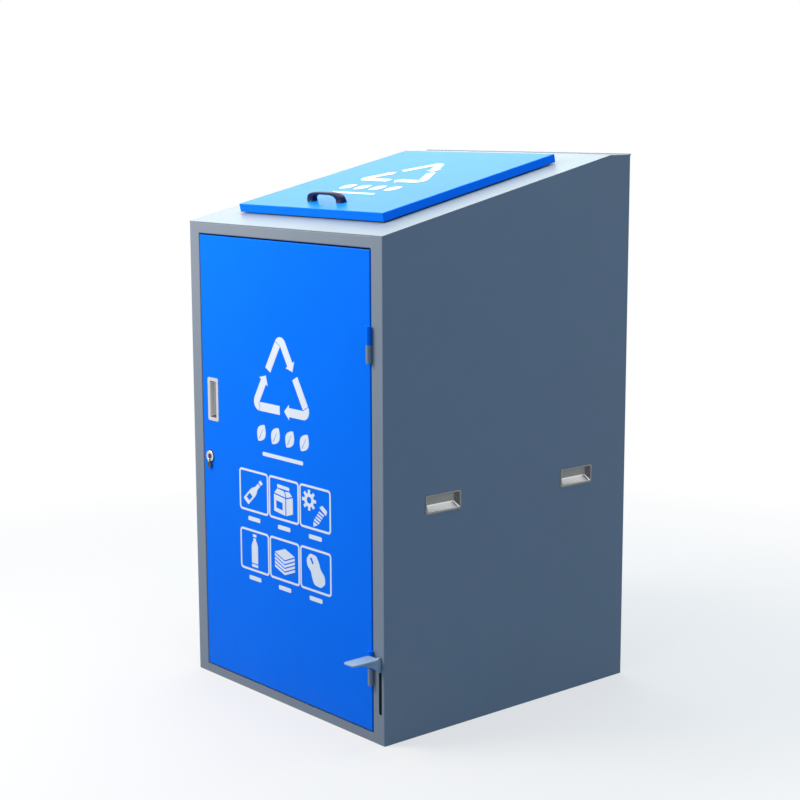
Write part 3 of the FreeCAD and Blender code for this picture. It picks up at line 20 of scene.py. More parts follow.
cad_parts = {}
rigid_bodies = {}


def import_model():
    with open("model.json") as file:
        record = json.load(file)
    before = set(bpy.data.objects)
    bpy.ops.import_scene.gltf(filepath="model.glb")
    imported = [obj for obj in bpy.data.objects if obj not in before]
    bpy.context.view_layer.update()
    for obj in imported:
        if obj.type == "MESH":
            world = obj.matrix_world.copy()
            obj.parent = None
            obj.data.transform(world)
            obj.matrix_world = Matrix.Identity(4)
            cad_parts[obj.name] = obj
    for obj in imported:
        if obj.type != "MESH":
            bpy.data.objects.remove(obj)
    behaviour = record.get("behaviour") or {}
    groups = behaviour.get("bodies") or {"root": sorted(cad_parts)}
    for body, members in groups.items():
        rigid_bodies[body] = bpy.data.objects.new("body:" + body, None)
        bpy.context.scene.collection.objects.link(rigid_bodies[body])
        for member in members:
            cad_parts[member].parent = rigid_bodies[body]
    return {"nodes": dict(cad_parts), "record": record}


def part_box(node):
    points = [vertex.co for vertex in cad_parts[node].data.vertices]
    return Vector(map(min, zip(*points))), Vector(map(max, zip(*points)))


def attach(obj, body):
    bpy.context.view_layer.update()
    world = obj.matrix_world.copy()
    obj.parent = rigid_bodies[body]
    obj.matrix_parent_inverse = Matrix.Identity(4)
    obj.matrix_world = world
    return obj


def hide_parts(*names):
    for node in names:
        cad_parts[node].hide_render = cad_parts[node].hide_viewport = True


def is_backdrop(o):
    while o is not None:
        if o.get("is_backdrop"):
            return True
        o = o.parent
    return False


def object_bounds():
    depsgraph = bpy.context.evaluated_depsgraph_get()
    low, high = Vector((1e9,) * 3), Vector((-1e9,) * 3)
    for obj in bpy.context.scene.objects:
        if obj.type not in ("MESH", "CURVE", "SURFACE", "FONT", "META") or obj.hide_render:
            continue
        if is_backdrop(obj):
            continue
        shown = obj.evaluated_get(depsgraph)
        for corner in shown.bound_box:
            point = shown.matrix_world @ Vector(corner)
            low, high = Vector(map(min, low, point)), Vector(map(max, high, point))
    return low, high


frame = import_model()
CAD_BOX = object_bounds()

LOG = logging.getLogger("recycling_bin")
MM = 0.001
SMOOTH_ANGLE = math.radians(32)
MERGE_DISTANCE = 0.000001
EDGE_BOW = 0.3  # where a rounded edge passes its corner, as a share of its radius
FILM = 0.4 * MM
FILM_BITE = 0.05 * MM
FILM_LIFT = FILM / 2 - FILM_BITE

Colour = tuple[float, float, float]
Triple = tuple[float, float, float]
Point = tuple[float, float]
Outline = list[Point]
Socket = bpy.types.NodeSocket
Tree = bpy.types.NodeTree
Mesh = bpy.types.Mesh
Material = bpy.types.Material

WHITE: Colour = (1.0, 1.0, 1.0)
PRIMER: Colour = (0.42, 0.43, 0.44)
ROAD_DUST: Colour = (0.36, 0.34, 0.31)

RIGHTWARD = Vector((1, 0, 0))
REARWARD = Vector((0, 1, 0))
UPWARD = Vector((0, 0, 1))
AS_BUILT = Matrix.Identity(4)


class Body(str, Enum):
    """Bodies that pieces ride on."""

    HOUSING = "housing"
    DOOR = "door"
    LID = "lid"
    PEDAL = "pedal"
    WHEEL_LEFT = "wheel_left"
    WHEEL_RIGHT = "wheel_right"


class Slot(str, Enum):
    """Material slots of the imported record."""

    GREY_PAINT = "grey_paint"
    BLUE_PAINT = "blue_paint"
    BARE_STEEL = "bare_steel"
    BRIGHT_METAL = "bright_metal"
    BLACK_PLASTIC = "black_plastic"
    SEAL_RUBBER = "seal_rubber"
    WHITE_NYLON = "white_nylon"
    BIN_PLASTIC = "bin_plastic"
    TYRE_RUBBER = "tyre_rubber"
    PEDAL_PAINT = "pedal_paint"


class Metal(str, Enum):
    """Platings of the fittings, several of which paint light or shade rather than a plating of their own."""

    # Bright plate; also a painted highlight on the side pulls' upward ramps.
    BRIGHT = "bright"
    # Painted shade: a darker zinc than the rim, for the door pull's cup.
    CUP_SHADE = "satin"
    # Painted shade: a darker copy of the pull plating, for the side pulls on the shaded side.
    SIDE_SHADE = "dull"
    # Dark steel: painted shade on the cups' ends, the lock's keyhole and the dust cover; also the lid hinge
    # leaves' plating.
    DARK = "dark"


def rgba(colour: Colour) -> tuple[float, float, float, float]:
    """The colour with full alpha."""
    return (*colour, 1.0)


def in_metres(points: Iterable[Point]) -> list[Point]:
    """Points that are drawn in millimetres, as metres."""
    return [(x * MM, y * MM) for x, y in points]


class NodeGraph:
    """Adds and links nodes in one node tree."""

    def __init__(self, tree: Tree) -> None:
        """Works on the given tree."""
        self.tree = tree

    def add(self, kind: str, values: dict[str | int, Any] | None = None, **settings: Any) -> bpy.types.Node:
        """Adds one node.

        Args:
            kind: Blender's name of the node type.
            values: Input name or number to a plain value, or to the socket that feeds it.
            settings: Attributes of the node itself.

        Returns:
            The new node.
        """
        node = self.tree.nodes.new(kind)
        for label, setting in settings.items():
            setattr(node, label, setting)
        for key, value in (values or {}).items():
            self.feed(node.inputs[key], value)
        return node

    def feed(self, socket: Socket, value: Any) -> None:
        """Sets or links an input.

        Args:
            socket: The input.
            value: A plain value, or the socket that feeds the input.
        """
        if isinstance(value, Socket):
            self.tree.links.new(value, socket)
        else:
            socket.default_value = value

    def math(self, operation: str, *values: Any, clamp: bool = False) -> Socket:
        """Result of a math node on up to three values."""
        node = self.add("ShaderNodeMath", dict(enumerate(values)), operation=operation, use_clamp=clamp)
        return node.outputs[0]

    def plus(self, base: Any, share: Any, mask: Any) -> Socket:
        """Base value plus a share of a mask."""
        return self.math("MULTIPLY_ADD", mask, share, base)

    def vector(self, operation: str, *values: Any) -> Socket:
        """Vector result of a vector math node on one or two values."""
        node = self.add("ShaderNodeVectorMath", dict(enumerate(values)), operation=operation)
        return node.outputs["Vector"]

    def parts(self, vector: Any) -> Any:
        """The X, Y and Z outputs of a vector."""
        return self.add("ShaderNodeSeparateXYZ", {0: vector}).outputs

    def mix(self, factor: Any, first: Any, second: Any) -> Socket:
        """Colour between two colours."""
        colours = {0: factor, 6: first, 7: second}
        return self.add("ShaderNodeMix", colours, data_type="RGBA").outputs[2]

    def noise(self, place: Any, scale: Any, detail: float, roughness: float = 0.55) -> Socket:
        """Noise value at a place."""
        values = {"Vector": place, "Scale": scale, "Detail": detail, "Roughness": roughness}
        return self.add("ShaderNodeTexNoise", values).outputs["Fac"]

    def ramp(self, value: Any, low: float, high: float) -> Socket:
        """Value stretched so that low gives 0 and high gives 1."""
        values = {"Value": value, "From Min": low, "From Max": high}
        return self.add("ShaderNodeMapRange", values).outputs["Result"]

    def object_place(self) -> Socket:
        """Object coordinates of the shaded point."""
        return self.add("ShaderNodeTexCoord").outputs["Object"]


class Effects:
    """Shader node groups that several finishes share."""

    def __init__(self) -> None:
        """Builds every group once."""
        self.mottle = self._mottle()
        self.orange_peel = self._orange_peel()
        self.edge_wear = self._edge_wear()
        self.ground_dust = self._ground_dust()
        self.scuffs = self._scuffs()
        self.spangle = self._spangle()

    @staticmethod
    def _group(name: str, inputs: dict[str, Any], output: str) -> tuple[NodeGraph, Any, Socket]:
        """Starts a shader node group.

        Args:
            name: The group's name.
            inputs: Input name to its default: four numbers make a colour, three a vector, one a value.
            output: Name of the output; one named Colour is a colour, and any other is a value.

        Returns:
            The graph, the group's own inputs and its own output.
        """
        tree = bpy.data.node_groups.new(name, "ShaderNodeTree")
        for label, default in inputs.items():
            size = len(default) if isinstance(default, tuple) else 1
            kind = {4: "NodeSocketColor", 3: "NodeSocketVector", 1: "NodeSocketFloat"}[size]
            tree.interface.new_socket(label, in_out="INPUT", socket_type=kind).default_value = default
        kind = "NodeSocketColor" if output == "Colour" else "NodeSocketFloat"
        tree.interface.new_socket(output, in_out="OUTPUT", socket_type=kind)
        graph = NodeGraph(tree)
        return graph, graph.add("NodeGroupInput").outputs, graph.add("NodeGroupOutput").inputs[output]

    def _mottle(self) -> Tree:
        """Slow change between a colour and its shade.

        Returns:
            The group.
        """
        inputs = {"Colour": rgba(WHITE), "Shade": rgba(WHITE), "Scale": 6.0, "Amount": 0.5}
        graph, given, result = self._group("mottle", inputs, "Colour")
        cloud = graph.noise(graph.object_place(), given["Scale"], detail=5.0, roughness=0.62)
        mask = graph.math("MULTIPLY", graph.ramp(cloud, low=0.32, high=0.68), given["Amount"])
        graph.feed(result, graph.mix(mask, given["Colour"], given["Shade"]))
        return graph.tree

    def _orange_peel(self) -> Tree:
        """Fine skin of sprayed or moulded surfaces.

        Returns:
            The group, which gives a height.
        """
        broad_scale = 0.3
        broad_share = 0.7
        graph, given, result = self._group("orange_peel", {"Scale": 400.0}, "Height")
        place = graph.object_place()
        fine = graph.noise(place, given["Scale"], detail=2.0)
        broad = graph.noise(place, graph.math("MULTIPLY", given["Scale"], broad_scale), detail=1.0)
        graph.feed(result, graph.plus(fine, broad_share, broad))
        return graph.tree

    def _edge_wear(self) -> Tree:
        """Broken line along the edges of the box between two corners.

        Returns:
            The group, which gives a mask.
        """
        least_reach = 0.00001
        inputs = {"Low": (0.0, 0.0, 0.0), "High": WHITE, "Width": 0.001, "Breakup": 40.0}
        graph, given, result = self._group("edge_wear", inputs, "Mask")
        place = graph.object_place()
        below = graph.vector("ABSOLUTE", graph.vector("SUBTRACT", place, given["Low"]))
        above = graph.vector("ABSOLUTE", graph.vector("SUBTRACT", given["High"], place))
        nearest = graph.parts(graph.vector("MINIMUM", below, above))
        smaller = graph.math("MINIMUM", nearest[0], nearest[1])
        larger = graph.math("MAXIMUM", nearest[0], nearest[1])
        from_edge = graph.math("MAXIMUM", smaller, graph.math("MINIMUM", larger, nearest[2]))
        cloud = graph.noise(place, given["Breakup"], detail=4.0, roughness=0.7)
        reach = graph.plus(least_reach, given["Width"], graph.ramp(cloud, low=0.52, high=0.74))
        share = graph.math("DIVIDE", from_edge, reach)
        graph.feed(result, graph.math("SUBTRACT", 1.0, share, clamp=True))
        return graph.tree

    def _ground_dust(self) -> Tree:
        """Dust that fades with the height above the ground.

        Returns:
            The group, which gives a mask.
        """
        fade_power = 1.7
        patch_scale = 16.0
        graph, given, result = self._group("ground_dust", {"Height": 0.2, "Amount": 0.3}, "Mask")
        place = graph.object_place()
        climb = graph.math("DIVIDE", graph.parts(place)["Z"], given["Height"])
        fade = graph.math("SUBTRACT", 1.0, climb, clamp=True)
        patches = graph.ramp(graph.noise(place, patch_scale, detail=6.0, roughness=0.65), low=0.3, high=0.75)
        mask = graph.math("MULTIPLY", graph.math("POWER", fade, fade_power), patches)
        graph.feed(result, graph.math("MULTIPLY", mask, given["Amount"], clamp=True))
        return graph.tree

    def _scuffs(self) -> Tree:
        """Thin wandering scratches in a few patches.

        Returns:
            The group, which gives a mask.
        """
        thinness = 60.0
        patch_scale = 9.0
        inputs = {"Stretch": WHITE, "Scale": 60.0, "Amount": 0.5}
        graph, given, result = self._group("scuffs", inputs, "Mask")
        place = graph.object_place()
        lines = graph.noise(graph.vector("MULTIPLY", place, given["Stretch"]), given["Scale"], detail=2.0)
        off_line = graph.math("ABSOLUTE", graph.math("SUBTRACT", lines, 0.5))
        thin = graph.math("SUBTRACT", 1.0, graph.math("MULTIPLY", off_line, thinness), clamp=True)
        patches = graph.ramp(graph.noise(place, patch_scale, detail=3.0), low=0.5, high=0.65)
        mask = graph.math("MULTIPLY", thin, patches)
        graph.feed(result, graph.math("MULTIPLY", mask, given["Amount"], clamp=True))
        return graph.tree

    def _spangle(self) -> Tree:
        """Crystal patches of zinc.

        Returns:
            The group, which gives a tone from 0 to 1.
        """
        graph, given, result = self._group("spangle", {"Scale": 120.0}, "Tone")
        cells = graph.add("ShaderNodeTexVoronoi", {"Vector": graph.object_place(), "Scale": given["Scale"]})
        tone = graph.add("ShaderNodeSeparateColor", {0: cells.outputs["Color"]}).outputs[0]
        graph.feed(result, tone)
        return graph.tree


class Surface:
    """A new material with one Principled shader for a finish to wire up."""

    def __init__(self, name: str) -> None:
        """Starts the material.

        Args:
            name: Its name.
        """
        self.material = bpy.data.materials.new(name)
        self.material.use_nodes = True
        tree = self.material.node_tree
        tree.nodes.clear()
        self.graph = NodeGraph(tree)
        self.shader = self.graph.add("ShaderNodeBsdfPrincipled")
        self.graph.add("ShaderNodeOutputMaterial", {"Surface": self.shader.outputs["BSDF"]})

    def effect(self, group: Tree, values: dict[str, Any]) -> Socket:
        """Output of a shared effect that is placed here with its own values."""
        return self.graph.add("ShaderNodeGroup", values, node_tree=group).outputs[0]

    def connect(self, values: dict[str, Any]) -> None:
        """Sets or links inputs of the shader."""
        for label, value in values.items():
            self.graph.feed(self.shader.inputs[label], value)

    def bump(self, height: Socket, strength: float, depth: float) -> None:
        """Raises the surface by a height, for light only."""
        node = self.graph.add("ShaderNodeBump", {"Height": height, "Strength": strength, "Distance": depth})
        self.connect({"Normal": node.outputs["Normal"]})


@dataclass(frozen=True)
class PowderCoat:
    """Sprayed and baked paint on steel, with dust near the ground and rubbed edges."""

    name: str
    colour: Colour
    shade: Colour
    roughness: float
    specular: float
    dust: float = 0.3
    wear_width: float = 1.2 * MM
    dust_roughness: float = 0.4

    def material(self, effects: Effects, piece: str, low: Vector, high: Vector) -> Material:
        """Makes this finish for one piece.

        Args:
            effects: The shared shader groups.
            piece: Name of the piece.
            low: Lowest corner of the box whose edges are rubbed.
            high: Highest corner of that box.

        Returns:
            The new material.
        """
        surface = Surface(f"{self.name}.{piece}")
        graph = surface.graph
        tones = {"Colour": rgba(self.colour), "Shade": rgba(self.shade), "Scale": 5.0, "Amount": 0.7}
        paint = surface.effect(effects.mottle, tones)
        dust = surface.effect(effects.ground_dust, {"Height": 0.24, "Amount": self.dust})
        corners = {"Low": low, "High": high, "Width": self.wear_width, "Breakup": 46.0}
        worn = surface.effect(effects.edge_wear, corners)
        colour = graph.mix(dust, paint, rgba(ROAD_DUST))
        surface.connect({
            "Base Color": graph.mix(worn, colour, rgba(PRIMER)),
            "Roughness": graph.plus(self.roughness, self.dust_roughness, dust),
            "Specular IOR Level": self.specular,
        })
        peel = surface.effect(effects.orange_peel, {"Scale": 480.0})
        surface.bump(peel, strength=0.06, depth=0.4 * MM)
        return surface.material


@dataclass(frozen=True)
class PlatedMetal:
    """Bare or plated metal with crystal patches, fine drawn lines and a few scratches."""

    name: str
    colour: Colour
    shade: Colour
    roughness: float
    spangle_scale: float
    scratch: float
    tone_roughness: float = 0.08
    scratch_roughness: float = 0.25

    def material(self, effects: Effects, piece: str, low: Vector, high: Vector) -> Material:
        """Makes this finish for one piece.

        Args:
            effects: The shared shader groups.
            piece: Name of the piece.
            low: Lowest corner of the box whose edges are rubbed.
            high: Highest corner of that box.

        Returns:
            The new material.
        """
        surface = Surface(f"{self.name}.{piece}")
        graph = surface.graph
        tone = surface.effect(effects.spangle, {"Scale": self.spangle_scale})
        lines = {"Stretch": (1.0, 1.0, 0.12), "Scale": 160.0, "Amount": self.scratch}
        scratch = surface.effect(effects.scuffs, lines)
        corners = {"Low": low, "High": high, "Width": 0.8 * MM, "Breakup": 90.0}
        worn = surface.effect(effects.edge_wear, corners)
        plate = graph.mix(tone, rgba(self.shade), rgba(self.colour))
        rough = graph.plus(self.roughness, self.tone_roughness, tone)
        surface.connect({
            "Base Color": graph.mix(worn, plate, rgba(WHITE)),
            "Metallic": 1.0,
            "Roughness": graph.plus(rough, self.scratch_roughness, scratch),
        })
        surface.bump(scratch, strength=0.1, depth=0.2 * MM)
        return surface.material


@dataclass(frozen=True)
class MouldedPart:
    """Moulded plastic or rubber: fine grain, scuffs and dust."""

    name: str
    colour: Colour
    shade: Colour
    roughness: float
    grain_scale: float
    grain_depth: float
    scuff: float
    specular: float = 0.4
    scuff_roughness: float = 0.2
    rubbed_share: float = 0.6
    rubbed_lift: float = 0.16

    def material(self, effects: Effects, piece: str, low: Vector, high: Vector) -> Material:
        """Makes this finish for one piece.

        Args:
            effects: The shared shader groups.
            piece: Name of the piece.
            low: Lowest corner of the box whose edges are rubbed.
            high: Highest corner of that box.

        Returns:
            The new material.
        """
        surface = Surface(f"{self.name}.{piece}")
        graph = surface.graph
        tones = {"Colour": rgba(self.colour), "Shade": rgba(self.shade), "Scale": 14.0, "Amount": 0.8}
        body = surface.effect(effects.mottle, tones)
        lines = {"Stretch": (1.0, 1.0, 0.07), "Scale": 70.0, "Amount": self.scuff}
        scuff = surface.effect(effects.scuffs, lines)
        corners = {"Low": low, "High": high, "Width": 1.5 * MM, "Breakup": 60.0}
        worn = graph.math("MULTIPLY", surface.effect(effects.edge_wear, corners), self.scuff)
        dust = surface.effect(effects.ground_dust, {"Height": 0.16, "Amount": 0.5})
        light = tuple(channel * self.rubbed_share + self.rubbed_lift for channel in self.colour)
        rubbed = graph.mix(graph.math("MAXIMUM", scuff, worn), body, rgba(light))
        surface.connect({
            "Base Color": graph.mix(dust, rubbed, rgba(ROAD_DUST)),
            "Roughness": graph.plus(self.roughness, self.scuff_roughness, scuff),
            "Specular IOR Level": self.specular,
        })
        grain = surface.effect(effects.orange_peel, {"Scale": self.grain_scale})
        surface.bump(grain, strength=0.3, depth=self.grain_depth)
        return surface.material


@dataclass(frozen=True)
class SignFilm:
    """Cut white film with a slight tooth, a trace of yellowing and fine scratches."""

    name: str = "sign_film"
    colour: Colour = (0.86, 0.9, 0.94)
    shade: Colour = (0.82, 0.85, 0.87)
    scratched: Colour = (0.62, 0.66, 0.72)
    roughness: float = 0.42
    scratch_roughness: float = 0.2

    def material(self, effects: Effects, piece: str) -> Material:
        """Makes the film for one sign.

        Args:
            effects: The shared shader groups.
            piece: Name of the sign.

        Returns:
            The new material.
        """
        surface = Surface(f"{self.name}.{piece}")
        graph = surface.graph
        tones = {"Colour": rgba(self.colour), "Shade": rgba(self.shade), "Scale": 11.0, "Amount": 0.6}
        film = surface.effect(effects.mottle, tones)
        scratch = surface.effect(effects.scuffs, {"Stretch": (1.0, 1.0, 0.5), "Scale": 70.0, "Amount": 0.25})
        surface.connect({
            "Base Color": graph.mix(scratch, film, rgba(self.scratched)),
            "Roughness": graph.plus(self.roughness, self.scratch_roughness, scratch),
            "Specular IOR Level": 0.25,
        })
        tooth = surface.effect(effects.orange_peel, {"Scale": 900.0})
        surface.bump(tooth, strength=0.05, depth=0.2 * MM)
        return surface.material


class FinishBook:
    """The finish of every slot, the platings and the sign film."""

    def __init__(self) -> None:
        """Builds the shared effects and chooses the finishes."""
        self.effects = Effects()
        self.film = SignFilm()
        # Beside the bright plate, these are darker copies that paint shade: in the door pull's cup, on the
        # shaded side pulls, and on shaded ends, the lock's keyhole and the dust cover.
        self.metals = {
            Metal.BRIGHT: PlatedMetal(
                "bright_plate", (0.68, 0.69, 0.7), (0.62, 0.63, 0.65),
                roughness=0.2, spangle_scale=420.0, scratch=0.4,
            ),
            Metal.CUP_SHADE: PlatedMetal(
                "cup_shade_zinc", (0.52, 0.53, 0.54), (0.46, 0.47, 0.48),
                roughness=0.34, spangle_scale=420.0, scratch=0.4,
            ),
            Metal.SIDE_SHADE: PlatedMetal(
                "side_shade_zinc", (0.21, 0.22, 0.225), (0.17, 0.18, 0.185),
                roughness=0.38, spangle_scale=300.0, scratch=0.5,
            ),
            Metal.DARK: PlatedMetal(
                "dark_steel_and_shade", (0.1, 0.1, 0.11), (0.07, 0.07, 0.08),
                roughness=0.36, spangle_scale=300.0, scratch=0.5,
            ),
        }
        self.finishes: dict[Slot, PowderCoat | PlatedMetal | MouldedPart] = {
            Slot.GREY_PAINT: PowderCoat(
                "grey_paint", (0.235, 0.272, 0.318), (0.222, 0.258, 0.304), roughness=0.42, specular=0.24,
            ),
            Slot.BLUE_PAINT: PowderCoat(
                "blue_paint", (0.001, 0.19, 0.97), (0.001, 0.178, 0.93),
                roughness=0.34, specular=0.04, dust=0.04, wear_width=0.9 * MM,
            ),
            Slot.PEDAL_PAINT: PowderCoat(
                "pedal_paint", (0.4, 0.5, 0.6), (0.34, 0.43, 0.52),
                roughness=0.4, specular=0.35, dust=0.35, wear_width=3.0 * MM,
            ),
            Slot.BARE_STEEL: PlatedMetal(
                "zinc_plate", (0.4, 0.41, 0.42), (0.31, 0.32, 0.34),
                roughness=0.38, spangle_scale=110.0, scratch=0.6,
            ),
            Slot.BRIGHT_METAL: self.metals[Metal.BRIGHT],
            Slot.BLACK_PLASTIC: MouldedPart(
                "black_plastic", (0.006, 0.010, 0.035), (0.010, 0.015, 0.045),
                roughness=0.36, grain_scale=1500.0, grain_depth=0.1 * MM, scuff=0.06, specular=0.16,
            ),
            Slot.SEAL_RUBBER: MouldedPart(
                "seal_rubber", (0.022, 0.022, 0.024), (0.032, 0.032, 0.033),
                roughness=0.75, grain_scale=900.0, grain_depth=0.3 * MM, scuff=0.3, specular=0.3,
            ),
            Slot.WHITE_NYLON: MouldedPart(
                "white_nylon", (0.76, 0.76, 0.73), (0.68, 0.68, 0.64),
                roughness=0.5, grain_scale=800.0, grain_depth=0.1 * MM, scuff=0.3,
            ),
            Slot.BIN_PLASTIC: MouldedPart(
                "bin_plastic", (0.05, 0.06, 0.07), (0.066, 0.076, 0.086),
                roughness=0.52, grain_scale=620.0, grain_depth=0.4 * MM, scuff=0.3,
            ),
            Slot.TYRE_RUBBER: MouldedPart(
                "tyre_rubber", (0.02, 0.02, 0.021), (0.034, 0.034, 0.034),
                roughness=0.8, grain_scale=500.0, grain_depth=0.4 * MM, scuff=0.4, specular=0.3,
            ),
        }

    def material(self, slot: Slot, piece: str, low: Vector, high: Vector) -> Material:
        """Finish of a slot, made for one piece with the given box."""
        return self.finishes[slot].material(self.effects, piece, low, high)

    def metal(self, kind: Metal, piece: str, low: Vector, high: Vector) -> Material:
        """Plating of one kind, made for one piece with the given box."""
        return self.metals[kind].material(self.effects, piece, low, high)

    def sign(self, piece: str) -> Material:
        """White film for one sign."""
        return self.film.material(self.effects, piece)


class MeshKit:
    """Builds plain meshes from rings, turned profiles and flat outlines."""

    @staticmethod
    def taken(scratch: bpy.types.Object, place: Matrix) -> tuple[bmesh.types.BMesh, list[Material]]:
        """Takes the evaluated mesh of a scratch object, and removes the object.

        Args:
            scratch: A new curve or mesh object, with any modifier set.
            place: Where the mesh goes.

        Returns:
            The geometry, in place, and its materials.
        """
        bpy.context.scene.collection.objects.link(scratch)
        evaluated = scratch.evaluated_get(bpy.context.evaluated_depsgraph_get())
        made = bpy.data.meshes.new_from_object(evaluated)
        materials = list(made.materials)
        build = bmesh.new()
        build.from_mesh(made)
        bmesh.ops.transform(build, matrix=place, verts=build.verts)
        start = scratch.data
        bpy.data.objects.remove(scratch)
        bpy.data.batch_remove([start, made])
        return build, materials

    @staticmethod
    def settled(build: bmesh.types.BMesh, name: str) -> Mesh:
        """Merges doubles, turns faces outwards and makes a mesh.

        Args:
            build: The geometry, which is freed.
            name: Name of the mesh.

        Returns:
            The mesh, smooth but for its edges.
        """
        bmesh.ops.remove_doubles(build, verts=build.verts, dist=MERGE_DISTANCE)
        bmesh.ops.recalc_face_normals(build, faces=build.faces)
        mesh = bpy.data.meshes.new(name)
        build.to_mesh(mesh)
        build.free()
        mesh.shade_smooth()
        mesh.set_sharp_from_angle(angle=SMOOTH_ANGLE)
        return mesh

    @classmethod
    def loft(
        cls, name: str, rings: Sequence[Sequence[Vector]], place: Matrix = AS_BUILT, loop: bool = False,
    ) -> Mesh:
        """Closed skin over rings.

        Args:
            name: Name of the mesh.
            rings: Rings of equally many points.
            place: Where the mesh goes.
            loop: Joins the last ring to the first instead of capping both.

        Returns:
            The mesh, in place.
        """
        build = bmesh.new()
        rows = [[build.verts.new(place @ point) for point in ring] for ring in rings]
        for near, far in zip(rows, rows[1:] + rows[:1] if loop else rows[1:]):
            for index, (first, second) in enumerate(zip(near, near[1:] + near[:1])):
                build.faces.new((first, second, far[(index + 1) % len(far)], far[index]))
        if not loop:
            build.faces.new(rows[0][::-1])
            build.faces.new(rows[-1])
        return cls.settled(build, name)

    @classmethod
    def turned(cls, name: str, profile: Sequence[Point], place: Matrix, steps: int = 56) -> Mesh:
        """Round piece about the local Z axis.

        Args:
            name: Name of the mesh.
            profile: Closed section as (radius, height) points.
            place: Where the mesh goes.
            steps: Points round the axis.

        Returns:
            The mesh, in place.
        """
        angles = [math.tau * step / steps for step in range(steps)]
        rings = [[Vector((r * math.cos(a), r * math.sin(a), h)) for a in angles] for r, h in profile]
        return cls.loft(name, rings, place, loop=True)

    @classmethod
    def cutout(cls, name: str, outlines: Iterable[Outline], thickness: float, place: Matrix) -> Mesh:
        """Flat sheet cut to closed outlines.

        Args:
            name: Name of the mesh.
            outlines: Closed outlines; one inside another is a hole.
            thickness: Thickness of the sheet, in the outlines' unit.
            place: Where the sheet goes.

        Returns:
            The mesh, in place.
        """
        curve = bpy.data.curves.new(name, "CURVE")
        curve.dimensions = "2D"
        curve.fill_mode = "BOTH"
        curve.extrude = thickness / 2
        for outline in outlines:
            spline = curve.splines.new("POLY")
            spline.points.add(len(outline) - 1)
            for point, (x, y) in zip(spline.points, outline):
                point.co = (x, y, 0.0, 1.0)
            spline.use_cyclic_u = True
        build, _ = cls.taken(bpy.data.objects.new(name, curve), place)
        return cls.settled(build, name)

    @staticmethod
    def rounded_rectangle(
        half_x: float, half_y: float, radius: float, height: float, steps: int = 6,
    ) -> list[Vector]:
        """Ring of a rectangle with round corners.

        Args:
            half_x: Half its width.
            half_y: Half its depth.
            radius: Radius of the corners.
            height: Height that the ring lies at.
            steps: Steps round each corner.

        Returns:
            The ring's points.
        """
        ring = []
        for corner, (sign_x, sign_y) in enumerate(((1, 1), (-1, 1), (-1, -1), (1, -1))):
            centre_x = sign_x * (half_x - radius)
            centre_y = sign_y * (half_y - radius)
            for step in range(steps + 1):
                angle = math.pi / 2 * (corner + step / steps)
                x = centre_x + radius * math.cos(angle)
                y = centre_y + radius * math.sin(angle)
                ring.append(Vector((x, y, height)))
        return ring


class Recipe:
    """A Geometry Nodes tree with named inputs that leaves a plain mesh."""

    def __init__(self, name: str, inputs: dict[str, str]) -> None:
        """Starts the tree.

        Args:
            name: The tree's name.
            inputs: Input name to the last word of its socket type, such as Float or Vector.
        """
        self.tree = bpy.data.node_groups.new(name, "GeometryNodeTree")
        for label, kind in inputs.items():
            self.tree.interface.new_socket(label, in_out="INPUT", socket_type="NodeSocket" + kind)
        self.tree.interface.new_socket("Geometry", in_out="OUTPUT", socket_type="NodeSocketGeometry")
        self.graph = NodeGraph(self.tree)
        self.given = self.graph.add("NodeGroupInput").outputs

    def node(self, kind: str, values: dict[str | int, Any] | None = None, **settings: Any) -> Socket:
        """First output of a new geometry node."""
        return self.graph.add("GeometryNode" + kind, values, **settings).outputs[0]

    def xyz(self, x: Any, y: Any, z: Any) -> Socket:
        """Vector from three values."""
        return self.graph.add("ShaderNodeCombineXYZ", {0: x, 1: y, 2: z}).outputs[0]

    def row(self) -> Socket:
        """Points in a row, from the inputs Count, Start and Step."""
        labels = {"Count": "Count", "Start Location": "Start", "Offset": "Step"}
        return self.node("MeshLine", {key: self.given[label] for key, label in labels.items()}, mode="OFFSET")

    def rounded(self, curve: Socket, steps: int) -> Socket:
        """Rounds a curve's corners by the input Corner, and sets its normals upright.

        Args:
            curve: The curve.
            steps: Points on each corner.

        Returns:
            The new curve.
        """
        corners = {"Curve": curve, "Radius": self.given["Corner"], "Count": steps}
        fillet = self.node("FilletCurve", corners, mode="POLY")
        return self.node("SetCurveNormal", {"Curve": fillet}, mode="Z_UP")

    def close(self, geometry: Socket) -> None:
        """Ends the tree with real meshes and their material.

        Args:
            geometry: What the tree has made.
        """
        real = self.node("RealizeInstances", {0: geometry})
        dressed = self.node("SetMaterial", {"Geometry": real, "Material": self.given["Material"]})
        self.graph.add("NodeGroupOutput", {0: dressed})

    def mesh(
        self, name: str, values: dict[str, Any], place: Matrix = AS_BUILT, path: Mesh | None = None,
    ) -> Mesh:
        """Runs the tree once.

        Args:
            name: Name of the mesh.
            values: Input name to its value.
            place: Where the mesh goes.
            path: Edges that the tree starts from, if it needs any.

        Returns:
            The mesh, in place.
        """
        scratch = bpy.data.objects.new(name, path or bpy.data.meshes.new(name))
        modifier = scratch.modifiers.new(self.tree.name, "NODES")
        modifier.node_group = self.tree
        for item in self.tree.interface.items_tree:
            if item.in_out == "INPUT" and item.name in values:
                modifier[item.identifier] = values[item.name]
        build, materials = MeshKit.taken(scratch, place)
        mesh = MeshKit.settled(build, name)
        for material in materials:
            mesh.materials.append(material)
        return mesh


